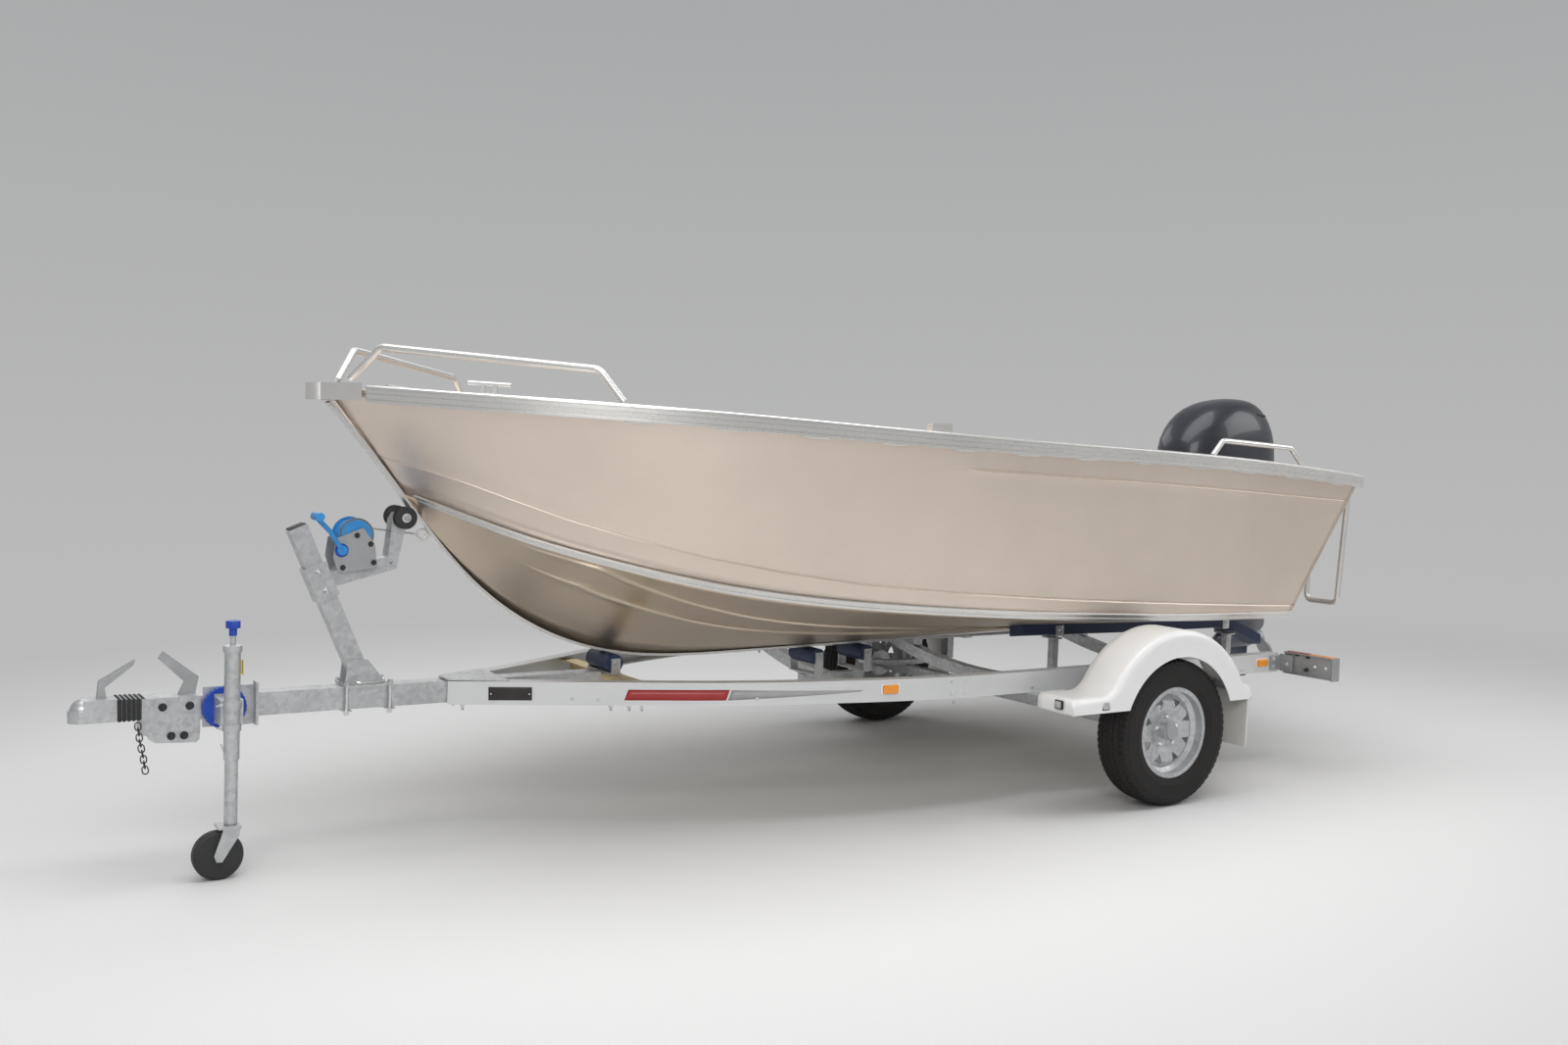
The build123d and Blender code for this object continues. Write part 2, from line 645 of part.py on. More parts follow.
def build_crossmembers(nose_plate):
    bars = [bowed_bar(x) for x in crossmember_xs]
    level_parts["crossmembers"] = body_of(*bars, nose_plate)
    x0, x1 = bar_rear_x - 60, bar_rear_x - fit
    roller_room = level(front_roller_x, roller_at(front_roller_x, *front_roller)[2])[1] - 2 * fit
    top = min(rail_top(x1) - rail_wall - 0.5, roller_room)
    half = rail_breadth(x1) - rail_wall - 1
    level_parts["front_crossmember"] = block(x0, x1, -half, half, top - 6, top) + block(
        x0, x0 + 6, -half, half, top - 46, top)


def roller_at(x, length, drop):
    """A keel roller under the keel bar, with its pin and two cheeks, all in the parked frame."""
    length_share = (x - stern_x) / (stem_foot_x - stern_x)
    keel = keel_point(length_share).Z
    climb = keel - keel_point(length_share - 0.01).Z
    run = 0.01 * (stem_foot_x - stern_x)
    z = keel - (keel_bar_depth + 2 * fit + roller_radius) * hypot(1, climb / run)
    half = length / 2
    roller = rod((x, -half, z), (x, half, z), roller_radius, roller_pin + 0.1)
    pin = rod((x, -half - 16, z), (x, half + 16, z), roller_pin)
    cheeks = [block(x - 18, x + 18, y - 3, y + 3, z - drop, z + 18) for y in (-half - 6, half + 6)]
    seat = block(x - 22, x + 22, -half - 9, half + 9, z - drop - 5, z - drop)
    return roller, pin + cheeks[0] + cheeks[1] + seat, z - drop - 5


def bottom_z(x, y):
    """The outside of the bottom sheet at a place."""
    keel = keel_point((x - stern_x) / (stem_foot_x - stern_x)).Z
    chine = at_x(chine_line, x)
    return keel + (chine.Z - keel) * y / chine.Y


def build_supports():
    rollers, posts, feet = [], [], []
    beam_x0, beam_x1 = rocker_xs[1] - 30, rocker_xs[0] + 30
    beam_low = rail_top(beam_x0) - crossmember_drop - crossmember_dip + fit
    places = [(front_roller_x, *front_roller)] + [(x, keel_roller_length, roller_radius + 37) for x in (*rocker_xs, rear_roller_x)]
    for x, length, drop in places:
        roller, carrier, foot_z = roller_at(x, length, drop)
        rollers.append(roller)
        foot_x, foot = level(x, foot_z)
        if x in rocker_xs:
            carrier += pitched(block(x - 20, x + 20, -20, 20, beam_low + 2, foot + 2))
        elif x == rear_roller_x:
            base = rail_top(x) - crossmember_drop - crossmember_dip
            carrier += pitched(block(x - 20, x + 20, -20, 20, base + 2 * fit, foot + 2))
        if x in rocker_xs:
            feet.append(carrier)
        else:
            posts.append(carrier)
    beam = pitched(block(beam_x0, beam_x1, -rocker_width / 2, rocker_width / 2, beam_low, beam_low + rocker_depth))
    posts.append(beam + feet[0] + feet[1])
    parts["keel_rollers"] = body_of(*rollers)
    parts["roller_posts"] = body_of(*posts)

    stations = [skid_rear_x, -300, skid_front_x]
    y0, y1 = skid_y - skid_width / 2, skid_y + skid_width / 2

    def section(x, drop=0):
        return [Vector(x, y0, bottom_z(x, y0) - skid_gap - drop), Vector(x, y1, bottom_z(x, y1) - skid_gap - drop),
                Vector(x, y1, bottom_z(x, y1) - skid_depth - drop), Vector(x, y0, bottom_z(x, y0) - skid_depth - drop)]

    def skid_under(x):
        """The lower inner edge of the skid between its stations, and of its dropped tail."""
        if x < skid_rear_x:
            share = (skid_rear_x - x) / (skid_rear_x - skid_tail_x)
            return (1 - share) * bottom_z(skid_rear_x, y0) + share * (bottom_z(skid_tail_x, y0) - skid_tail_drop) - skid_depth
        x0, x1 = stations[:2] if x < stations[1] else stations[1:]
        share = (x - x0) / (x1 - x0)
        return (1 - share) * bottom_z(x0, y0) + share * bottom_z(x1, y0) - skid_depth

    plank = loft([make_face(Polyline(*section(x), close=True)) for x in stations], ruled=True)
    tail = loft([make_face(Polyline(*section(x, drop), close=True))
                 for x, drop in ((skid_rear_x, 0), (skid_tail_x, skid_tail_drop))], ruled=True)
    parts["skids"] = body_of(*both(plank + tail))
    stands = []
    for x in skid_post_xs:
        low = rail_top(x) - crossmember_drop - crossmember_dip + bow_rise(x, skid_y + 15) + fit
        top = level(x, skid_under(x))[1]
        post = pitched(block(x - 15, x + 15, skid_y - 15, skid_y + 15, low, top - 2))
        seat = min(skid_under(x - 20), skid_under(x + 20)) - 2 * fit
        cradle = block(x - 20, x + 20, y0 - 3, y1 - 3, seat - 6, seat)
        stands.append((post & block(x - 30, x + 30, 0, 600, 0, seat)) + cradle)
    parts["skid_posts"] = body_of(*[half for post in stands for half in both(post)])


def build_axle():
    half = track_half - rim_width / 2 - 30
    beam = block(-axle_size / 2, axle_size / 2, -half, half, tyre_radius - axle_size / 2, tyre_radius + axle_size / 2)
    stubs = [rod((0, side * half, tyre_radius), (0, side * (track_half + 42), tyre_radius), bearing_radius) for side in (1, -1)]
    level_parts["axle"] = beam + stubs[0] + stubs[1]
    base = tyre_radius + axle_size / 2 + fit
    y = rail_outer_y - rail_flange / 2
    springs = []
    for side in (1, -1):
        low_arc = ThreePointArc((-spring_half, 0, base + 26), (0, 0, base), (spring_half, 0, base + 26))
        top_arc = ThreePointArc((-spring_half, 0, base + 38), (0, 0, base + 24), (spring_half, 0, base + 38))
        leaf = extrude(make_face([low_arc, top_arc, Line(low_arc @ 0, top_arc @ 0), Line(low_arc @ 1, top_arc @ 1)]),
                       spring_width, dir=(0, 1, 0))
        leaf = Pos(0, side * y - spring_width / 2, 0) * leaf
        for x in (-spring_half, spring_half):
            leaf += block(x - 18, x + 18, side * y - 25, side * y + 25, base + 20, rail_top_z - rail_height - fit)
        springs.append(leaf)
    level_parts["leaf_springs"] = body_of(*springs)


def build_wheel():
    """Tyre and rim of the port wheel, and their mirror images to starboard."""
    half, flange = tyre_width / 2, rim_width / 2
    tread = tyre_radius
    bead, shoulder = rim_radius + fit, rim_flange_radius + fit
    outer = make_face([
        Line((0, flange - fit, bead), (0, flange - fit, shoulder)), Line((0, flange - fit, shoulder), (0, flange + 4, shoulder)),
        Spline((0, flange + 4, shoulder), (0, half, (rim_radius + tread) / 2), (0, half - 10, tread - 14)),
        Line((0, half - 10, tread - 14), (0, half - 24, tread)), Line((0, half - 24, tread), (0, -half + 24, tread)),
        Line((0, -half + 24, tread), (0, -half + 10, tread - 14)),
        Spline((0, -half + 10, tread - 14), (0, -half, (rim_radius + tread) / 2), (0, -flange - 4, shoulder)),
        Line((0, -flange - 4, shoulder), (0, -flange + fit, shoulder)),
        Line((0, -flange + fit, shoulder), (0, -flange + fit, bead)),
        Line((0, -flange + fit, bead), (0, -flange + 18, bead)),
        Spline((0, -flange + 18, bead), (0, -half + 12, (rim_radius + tread) / 2), (0, -half + 26, tread - 14)),
        Line((0, -half + 26, tread - 14), (0, half - 26, tread - 14)),
        Spline((0, half - 26, tread - 14), (0, half - 12, (rim_radius + tread) / 2), (0, flange - 18, bead)),
        Line((0, flange - 18, bead), (0, flange - fit, bead)),
    ])
    tyre = Pos(0, track_half, tyre_radius) * revolve(outer, Axis.Y)
    wall = 4
    r, f, w = rim_radius - 0.3, rim_flange_radius, flange
    drop = 18
    barrel = make_face(Polyline(
        (0, -w - 4, f), (0, -w, f), (0, -w, r), (0, -w + 26, r), (0, -w + 36, r - drop), (0, w - 44, r - drop), (0, w - 32, r),
        (0, w, r), (0, w, f), (0, w + 4, f), (0, w + 4, r - wall), (0, w - 30, r - wall), (0, w - 42, r - drop - wall),
        (0, -w + 34, r - drop - wall), (0, -w + 24, r - wall), (0, -w - 4, r - wall), close=True))
    rim = revolve(barrel, Axis.Y)
    dish = make_face(Polyline(
        (0, 12, 0), (0, 12, 56), (0, 24, 84), (0, 34, 118), (0, 18, r - drop - wall + 1), (0, 13, r - drop - wall + 1),
        (0, 29, 118), (0, 19, 86), (0, 7, 58), (0, 7, 0), close=True))
    disc = revolve(dish, Axis.Y)
    for i in range(8):
        spot = Rot(0, 45 * i + 22.5, 0)
        hole = make_face(Polyline((-20, 0, 128), (20, 0, 128), (0, 0, 92), close=True))
        disc -= spot * extrude(hole, 60, dir=(0, 1, 0), both=True)
    hub = rod((0, -34, 0), (0, 7.5, 0), hub_radius) + rod((0, 11, 0), (0, 46, 0), 32)
    hub -= rod((0, -60, 0), (0, 43, 0), bearing_radius + pin_fit)
    rim = Pos(0, track_half, tyre_radius) * (rim + disc + hub - rod((0, -60, 0), (0, 43, 0), bearing_radius + pin_fit))
    for name, shape in (("tyre", tyre), ("rim", rim)):
        for side, half_shape in zip(("port", "starboard"), both(shape)):
            parts[f"{name}_{side}"] = half_shape


def build_guards():
    """Moulded mudguards: an arch over the wheel with a flat step at the front and a short one behind."""
    z = tyre_radius
    width = guard_outer_y - guard_inner_y
    def ring(outer, inner, y0, y1):
        return rod((0, y0, z), (0, y1, z), outer) - rod((0, y0 - 1, z), (0, y1 + 1, z), inner)
    above = block(-600, 700, guard_inner_y, guard_outer_y, guard_shelf_z - guard_wall, z + 500)
    skin = ring(guard_radius, guard_radius - guard_wall, guard_inner_y, guard_outer_y) & above
    skirt = ring(guard_radius - 1, guard_opening, guard_outer_y - guard_wall, guard_outer_y)
    skirt &= block(-600, 700, guard_inner_y, guard_outer_y, guard_shelf_z - guard_apron, z + 500)
    reach = (guard_radius ** 2 - (guard_shelf_z - z) ** 2) ** 0.5
    guard = skin + skirt
    for x0, x1 in ((reach - 12, guard_front_x), (guard_rear_x, 12 - reach)):
        guard += block(x0, x1, guard_inner_y, guard_outer_y, guard_shelf_z - guard_wall, guard_shelf_z)
        guard += block(x0, x1, guard_outer_y - guard_wall, guard_outer_y, guard_shelf_z - guard_apron, guard_shelf_z)
    guard += block(guard_front_x - guard_wall, guard_front_x, guard_inner_y, guard_outer_y, guard_shelf_z - guard_apron, guard_shelf_z)
    guard += block(guard_rear_x, guard_rear_x + guard_wall, guard_inner_y, guard_outer_y, guard_shelf_z - guard_apron, guard_shelf_z)
    level_parts["mudguards"] = body_of(*both(guard))
    under = rail_top_z - rail_height - 6
    bars = []
    for x0, x1 in ((460, 510), (-385, -335)):
        bar = block(x0, x1, rail_outer_y - rail_flange, guard_outer_y - 30, under - fit, under + 6 - fit)
        bar += block(x0, x1, guard_inner_y + 20, guard_inner_y + 26, under, guard_shelf_z - guard_wall - fit)
        bar += block(x0, x1, guard_outer_y - 40, guard_outer_y - 34, under, guard_shelf_z - guard_wall - fit)
        bars += both(bar)
    level_parts["guard_bars"] = body_of(*bars)
    flap = block(guard_rear_x + 6, guard_rear_x + 12, guard_inner_y + 8, guard_outer_y - 8, 205, guard_shelf_z - 30)
    level_parts["mud_flaps"] = body_of(*both(flap))


def build_lights():
    lamps = []
    x0 = rail_rear_x - 12
    for side in (1, -1):
        y0, y1 = sorted((side * lamp_ys[0], side * lamp_ys[1]))
        lamp = block(x0 - 48, x0, y0, y1, *lamp_zs)
        arm_y0, arm_y1 = sorted((side * (rail_outer_y + fit), side * (rail_outer_y + 7)))
        arm = block(x0 - 40, rail_rear_x + 60, arm_y0, arm_y1, lamp_zs[0] + 15, lamp_zs[1] - 20)
        back = block(x0, x0 + 5, min(arm_y0, y0), max(arm_y1, y1), lamp_zs[0] + 10, lamp_zs[1] - 15)
        lamps.append(lamp + arm + back)
    level_parts["tail_lights"] = body_of(*lamps)


def build_winch():
    (x0, z0), (x1, z1) = winch_foot, winch_head
    length = hypot(x1 - x0, z1 - z0)
    ux, uz = (x1 - x0) / length, (z1 - z0) / length
    size = winch_post_size
    base = block(x0 - 85, x0 + 75, -62, 62, bar_top_z + fit, bar_top_z + 8)
    post = square_tube((x0, z0), (x1, z1), size, 4)
    post &= block(x0 - 300, x1 + 200, -100, 100, bar_top_z + 7, z1 + 200)
    gusset = slab([(x0 - 70, bar_top_z + 7), (x0 + 70, bar_top_z + 7), (x0 + 60, bar_top_z + 90), (x0 - 5, bar_top_z + 90)],
                  size / 2, size / 2 + 5)
    level_parts["winch_post"] = base + post + gusset + mirror(gusset, Plane.XZ)
    along = 0.66 * length
    collar_low = (x0 + ux * (along - 60), z0 + uz * (along - 60))
    collar_top = (x0 + ux * (along + 62), z0 + uz * (along + 62))
    collar = square_tube(collar_low, collar_top, size + 14, 6.7)
    mid = (x0 + ux * along, z0 + uz * along)
    knee = level(2768, 958)
    start = (mid[0] - 34, mid[1] + 8)
    arm = square_tube(start, knee, 50, 4) - square_tube(winch_foot, winch_head, size + 0.6, size / 2)
    roller_x, roller_z = level(2728, 1112)
    uprights = [slab([(knee[0] + 18, knee[1] - 24), (knee[0] - 18, knee[1] - 20), (roller_x - 16, roller_z - 4),
                      (roller_x - 12, roller_z + 16), (roller_x + 22, roller_z + 16), (roller_x + 34, roller_z - 6)],
                     side * 27 - 3, side * 27 + 3) for side in (1, -1)]
    pin_hole = rod((roller_x, -40, roller_z), (roller_x, 40, roller_z), bow_pin_radius + pin_fit)
    level_parts["winch_arm"] = collar + arm + uprights[0] + uprights[1] - pin_hole
    rollers = [rod((roller_x, side * 33, roller_z), (roller_x, side * 70, roller_z), bow_roller_radius) for side in (1, -1)]
    pin = rod((roller_x, -70, roller_z), (roller_x, 70, roller_z), bow_pin_radius)
    level_parts["bow_rollers"] = rollers[0] + rollers[1] + pin
    drum_x, drum_z = level(2889, 1056)
    sides = [slab([(drum_x - 70, drum_z - 108), (drum_x + 62, drum_z - 124), (drum_x + 78, drum_z - 72), (drum_x + 70, drum_z - 10),
                   (drum_x - 20, drum_z + 26), (drum_x - 60, drum_z - 30)], side * 48 - 2, side * 48 + 2) for side in (1, -1)]
    spindle = rod((drum_x, -48, drum_z), (drum_x, 48, drum_z), 9)

    def arm_top(x):
        slope = (knee[1] - start[1]) / (knee[0] - start[0])
        return start[1] + slope * (x - start[0]) + 25 * hypot(1, slope) + 2 * fit

    base = [(drum_x - 60, arm_top(drum_x - 60)), (drum_x + 56, arm_top(drum_x + 56))]
    base_plate = slab(base + [(x, z + 6) for x, z in reversed(base)], -48, 48)
    level_parts["winch"] = sides[0] + sides[1] + spindle + base_plate
    drum = rod((drum_x, -44, drum_z), (drum_x, 44, drum_z), 30, 9.1)
    for side in (1, -1):
        y0, y1 = sorted((side * 38, side * 44))
        drum += rod((drum_x, y0, drum_z), (drum_x, y1, drum_z), 58, 9.1)
    axle_x, axle_z = drum_x + 52, drum_z - 48
    tip_x, tip_z = level(3031, 1124)
    crank = rod((axle_x, 50 + fit, axle_z), (axle_x, 66, axle_z), 16)
    crank += bent([(axle_x, 60, axle_z), (axle_x + 40, 66, axle_z + 60), (tip_x, 66, tip_z)], [40], 8)
    crank += rod((tip_x, 60, tip_z), (tip_x, 130, tip_z), 14)
    level_parts["winch_drum"] = body_of(drum, crank)
    eye_x, eye_z = level(bow_eye_x + 60, bow_eye_z + 3)
    level_parts["winch_cable"] = rod((drum_x - 21.2, 0, drum_z + 25.6), (eye_x, 0, eye_z), 3)


def build_coupling():
    cx, low = coupling_centre_x, coupling_low_z
    head = rod((cx, 0, low), (cx, 0, low + 38), 42) + Pos(cx, 0, low + 36) * Sphere(36)
    flange = rod((cx, 0, low), (cx, 0, low + 7), 42)
    body = slab([(bar_front_x + 2, bar_top_z + 2), (bar_front_x + 2, low + 4), (cx, low), (cx, low + 68),
                 (cx - 60, bar_top_z + 6)], -42, 42)
    house_top = 500
    house_rear = bar_front_x - 82
    house = block(house_rear, bar_front_x + 90, -46, 46, 384, house_top) - block(
        house_rear - 8, bar_front_x + 1, -bar_size / 2 - fit, bar_size / 2 + fit, bar_top_z - bar_size - fit, bar_top_z + fit)
    socket = rod((cx, 0, low - 5), (cx, 0, low + 30), coupling_ball + 0.4) + Pos(cx, 0, low + 30) * Sphere(coupling_ball + 0.4)
    level_parts["coupling"] = head + flange + body + house - socket
    base, tip = level(cx - 57, 587), level(cx - 147, 672)
    lever = slab([(base[0] + 14, base[1] - 22), (base[0] - 14, base[1] - 22), (base[0] - 8, base[1] + 14), (tip[0], tip[1] - 8),
                  (tip[0] - 6, tip[1] + 8), (base[0] + 8, base[1] + 34)], -12, 12)
    low_end, bend, top = level(cx - 304, 572), level(cx - 319, 615), level(cx - 224, 694)
    brake = slab([(low_end[0] + 26, house_top + fit), (low_end[0] - 26, house_top + fit), (bend[0] - 22, bend[1]), (top[0] - 12, top[1] + 8),
                  (top[0] + 4, top[1] - 14), (bend[0] + 22, bend[1] - 14)], -5, 5)
    levers = [lever - level_parts["coupling"], brake - level_parts["coupling"]]
    level_parts["coupling_levers"] = body_of(*levers)


def build_jockey():
    y = jockey_y
    x, pivot_z = level(jockey_x, jockey_pivot_z)
    def up(z):
        return level(jockey_x, z)[1]
    side = bar_size / 2 + fit
    plate = block(x - 100, x + 62, side, side + 8, pivot_z - 62, pivot_z + 66)
    plate += block(x - 100, x - 92, side, side + 44, pivot_z - 62, pivot_z + 78)
    boss = rod((x, side + 8, pivot_z), (x, side + 44, pivot_z), 12)
    level_parts["jockey_clamp"] = plate + boss
    disc_y = side + 9
    disc = rod((x, disc_y, pivot_z), (x, disc_y + 22, pivot_z), jockey_disc_radius, 12 + pin_fit)
    level_parts["jockey_disc"] = disc
    hold_y = disc_y + 22 + fit
    holder = block(x - 34, x + 34, hold_y, hold_y + 8, pivot_z - 46, pivot_z + 46) - rod(
        (x, hold_y - 1, pivot_z), (x, hold_y + 9, pivot_z), 12 + 2)
    holder += block(x - 34, x + 34, hold_y + 4, y, pivot_z - 40, pivot_z + 40) - rod(
        (x, hold_y - 1, pivot_z), (x, hold_y + 20, pivot_z), 12 + 2)
    tube = rod((x, y, up(jockey_tube_low)), (x, y, up(jockey_tube_top)), jockey_tube_radius)
    outer = holder + tube + rod((x, y, up(jockey_tube_top)), (x, y, up(jockey_tube_top + 40)), 9)
    outer -= rod((x, y, up(jockey_tube_low) - 1), (x, y, up(jockey_tube_top - 12)), jockey_leg_radius + pin_fit)
    level_parts["jockey_tube"] = outer
    knob_z = up(jockey_tube_top + 40)
    knob = rod((x, y, knob_z), (x, y, knob_z + 26), 12) + rod((x, y, knob_z + 24), (x, y, knob_z + 46), 22)
    level_parts["jockey_knob"] = knob
    leg = rod((x, y, up(jockey_leg_low + 10)), (x, y, up(jockey_leg_top)), jockey_leg_radius, jockey_leg_radius - 4)
    leg += rod((x, y, up(jockey_leg_low + 10)), (x, y, up(jockey_leg_low + 26)), jockey_leg_radius)
    leg += rod((x, y, up(jockey_leg_low - 14)), (x, y, up(jockey_leg_low + 12)), 10)
    level_parts["jockey_leg"] = leg
    wheel_x, wheel_z = level(jockey_x + jockey_trail, jockey_wheel_radius)
    half = jockey_wheel_width / 2
    crown_z = up(jockey_leg_low)
    crown = block(x - 26, wheel_x + 4, y - half - 12, y + half + 12, crown_z, crown_z + 8)
    fork = crown
    for side_y in (y - half - 9, y + half + 9):
        cheek = slab([(x - 24, crown_z + 4), (x + 26, crown_z + 4), (wheel_x + 16, wheel_z + 4), (wheel_x + 8, wheel_z - 16),
                      (wheel_x - 8, wheel_z - 16), (x - 20, crown_z - 22)], side_y - 3, side_y + 3)
        fork += cheek
    fork -= rod((x, y, crown_z - 5), (x, y, crown_z + 20), 10 + pin_fit)
    fork += rod((wheel_x, y - half - 16, wheel_z), (wheel_x, y + half + 16, wheel_z), 7)
    level_parts["jockey_fork"] = fork
    wheel = rod((wheel_x, y - half, wheel_z), (wheel_x, y + half, wheel_z), jockey_wheel_radius, 7 + pin_fit)
    wheel = fillet(wheel.edges().filter_by(GeomType.CIRCLE).group_by(SortBy.RADIUS)[-1], 9)
    level_parts["jockey_wheel"] = wheel


build_hull()
build_keel()
build_transom()
build_interior()
build_bow_cap()
build_rails()
build_fittings()
build_outboard()
build_crossmembers(build_rails_and_bar())
build_supports()
build_axle()
build_wheel()
build_guards()
build_lights()
build_winch()
build_coupling()
build_jockey()
for name, shape in level_parts.items():
    parts[name] = pitched(shape)

if __name__ == "__main__":
    os.makedirs("parts", exist_ok=True)
    low = min(shape.bounding_box().min.X for shape in parts.values())
    high = max(shape.bounding_box().max.X for shape in parts.values())
    print("extent", low, high)
    for name, shape in parts.items():
        moved = Pos(-(low + high) / 2, 0, 0) * shape
        export_step(moved, f"parts/{name}.step")
        print(name, len(shape.solids()), round(shape.volume / 1000), shape.is_valid)
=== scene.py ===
import math

import bmesh
import bpy
from mathutils import Matrix, Vector
from mathutils.bvhtree import BVHTree


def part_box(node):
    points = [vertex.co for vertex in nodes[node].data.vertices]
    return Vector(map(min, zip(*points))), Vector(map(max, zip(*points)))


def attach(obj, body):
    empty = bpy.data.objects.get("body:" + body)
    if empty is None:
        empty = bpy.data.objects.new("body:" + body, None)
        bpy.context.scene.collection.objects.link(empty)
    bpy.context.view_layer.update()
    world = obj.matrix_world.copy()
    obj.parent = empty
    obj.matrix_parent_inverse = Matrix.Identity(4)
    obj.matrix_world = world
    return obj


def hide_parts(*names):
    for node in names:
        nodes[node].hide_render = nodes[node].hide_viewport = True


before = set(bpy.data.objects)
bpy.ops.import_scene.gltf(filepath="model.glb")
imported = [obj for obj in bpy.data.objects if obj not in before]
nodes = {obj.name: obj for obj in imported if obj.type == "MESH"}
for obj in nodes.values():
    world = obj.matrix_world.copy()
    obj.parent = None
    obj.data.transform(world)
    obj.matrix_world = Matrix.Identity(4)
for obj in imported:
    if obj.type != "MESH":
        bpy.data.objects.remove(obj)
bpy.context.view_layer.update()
scene = bpy.context.scene
print("frame loaded:", len(nodes), "nodes")

tyreLow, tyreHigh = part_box("tyre_port")
axleX = (tyreLow.x + tyreHigh.x) / 2  # the wheel axle is where the boat's own lengths start


def fromAxle(x, y, z):
    return Vector((x + axleX, y, z))


# camera
cameraSettings = {
    "place": (3.31586, 4.884, 1.4291),
    "heading": 32.856,  # degrees round from looking straight across the boat
    "down": 3.591,
    "roll": 1.06,
    "lens": 33.553,
}


def makeCamera(settings):
    heading, down, roll = (math.radians(settings[k]) for k in ("heading", "down", "roll"))
    ahead = Vector((-math.sin(heading) * math.cos(down), -math.cos(heading) * math.cos(down), -math.sin(down)))
    right = Vector((-math.cos(heading), math.sin(heading), 0))
    up = right.cross(ahead)
    right, up = (right * math.cos(roll) + up * math.sin(roll), up * math.cos(roll) - right * math.sin(roll))
    data = bpy.data.cameras.new("camera")
    data.lens = settings["lens"]
    data.sensor_width = 36
    camera = bpy.data.objects.new("camera", data)
    camera.matrix_world = Matrix((
        (right.x, up.x, -ahead.x, settings["place"][0]),
        (right.y, up.y, -ahead.y, settings["place"][1]),
        (right.z, up.z, -ahead.z, settings["place"][2]),
        (0, 0, 0, 1),
    ))
    scene.collection.objects.link(camera)
    scene.camera = camera


makeCamera(cameraSettings)
print("camera set")


# finishes: every one is mixed in nodes from noise on the object's own coordinates
def newMaterial(name):
    material = bpy.data.materials.new(name)
    material.use_nodes = True
    tree = material.node_tree
    shader = tree.nodes["Principled BSDF"]
    return material, tree, shader


def addNode(tree, kind, **values):
    node = tree.nodes.new(kind)
    for key, value in values.items():
        if hasattr(node, key):
            setattr(node, key, value)
        else:
            node.inputs[key.replace("_", " ")].default_value = value
    return node


def noiseAt(tree, stretch, scale, detail=3.0, rough=0.55):
    # noise in metres, drawn out along an axis by a small stretch number
    place = addNode(tree, "ShaderNodeTexCoord")
    mapping = addNode(tree, "ShaderNodeMapping")
    mapping.inputs["Scale"].default_value = stretch
    noise = addNode(tree, "ShaderNodeTexNoise", Scale=scale, Detail=detail, Roughness=rough)
    tree.links.new(place.outputs["Object"], mapping.inputs["Vector"])
    tree.links.new(mapping.outputs["Vector"], noise.inputs["Vector"])
    return noise.outputs["Fac"]


def spread(tree, source, low, high, fromLow=0.3, fromHigh=0.7):
    span = addNode(tree, "ShaderNodeMapRange")
    for key, value in (("From Min", fromLow), ("From Max", fromHigh), ("To Min", low), ("To Max", high)):
        span.inputs[key].default_value = value
    tree.links.new(source, span.inputs["Value"])
    return span.outputs["Result"]


def mixColours(tree, factor, first, second):
    mix = addNode(tree, "ShaderNodeMix", data_type="RGBA")
    mix.inputs[6].default_value = (*first, 1)
    mix.inputs[7].default_value = (*second, 1)
    tree.links.new(factor, mix.inputs[0])
    return mix.outputs[2]


def addBump(tree, shader, height, distance, strength=1.0, under=None):
    bump = addNode(tree, "ShaderNodeBump", Distance=distance, Strength=strength)
    tree.links.new(height, bump.inputs["Height"])
    if under is not None:
        tree.links.new(under, bump.inputs["Normal"])
    tree.links.new(bump.outputs["Normal"], shader.inputs["Normal"])
    return bump.outputs["Normal"]


def makeFinish(name, light, dark, metallic=0.0, rough=(0.4, 0.55), grain=(1, 1, 1), grainScale=300.0, grainBump=0.0002,
               patchScale=3.0, coat=0.0, ior=1.5, cells=0.0, sag=0.0):
    # light and dark are the two tones that the patches run between, rough is the range over the grain
    material, tree, shader = newMaterial(name)
    shader.inputs["Metallic"].default_value = metallic
    shader.inputs["IOR"].default_value = ior
    if coat:
        shader.inputs["Coat Weight"].default_value = coat
        shader.inputs["Coat Roughness"].default_value = 0.06
    patches = noiseAt(tree, (1, 1, 1), patchScale, 5.0, 0.6)
    grainNoise = noiseAt(tree, grain, grainScale, 3.0)
    tone = spread(tree, patches, 0, 1)
    if cells:
        place = addNode(tree, "ShaderNodeTexCoord")
        flakes = addNode(tree, "ShaderNodeTexVoronoi", Scale=cells, Randomness=1.0)
        tree.links.new(place.outputs["Object"], flakes.inputs["Vector"])
        split = addNode(tree, "ShaderNodeSeparateColor")
        tree.links.new(flakes.outputs["Color"], split.inputs["Color"])
        blend = addNode(tree, "ShaderNodeMath", operation="MULTIPLY_ADD")
        blend.inputs[1].default_value = 0.55
        tree.links.new(split.outputs[0], blend.inputs[0])
        half = addNode(tree, "ShaderNodeMath", operation="MULTIPLY")
        half.inputs[1].default_value = 0.45
        tree.links.new(tone, half.inputs[0])
        tree.links.new(half.outputs[0], blend.inputs[2])
        tone = blend.outputs[0]
        tree.links.new(spread(tree, tone, rough[0], rough[1], 0, 1), shader.inputs["Roughness"])
    else:
        tree.links.new(spread(tree, grainNoise, rough[0], rough[1]), shader.inputs["Roughness"])
    tree.links.new(mixColours(tree, tone, light, dark), shader.inputs["Base Color"])
    under = None
    if sag:
        under = addBump(tree, shader, noiseAt(tree, (1, 1, 1), 2.2, 1.0), sag, 0.6)
    addBump(tree, shader, grainNoise, grainBump, 0.6, under)
    return material


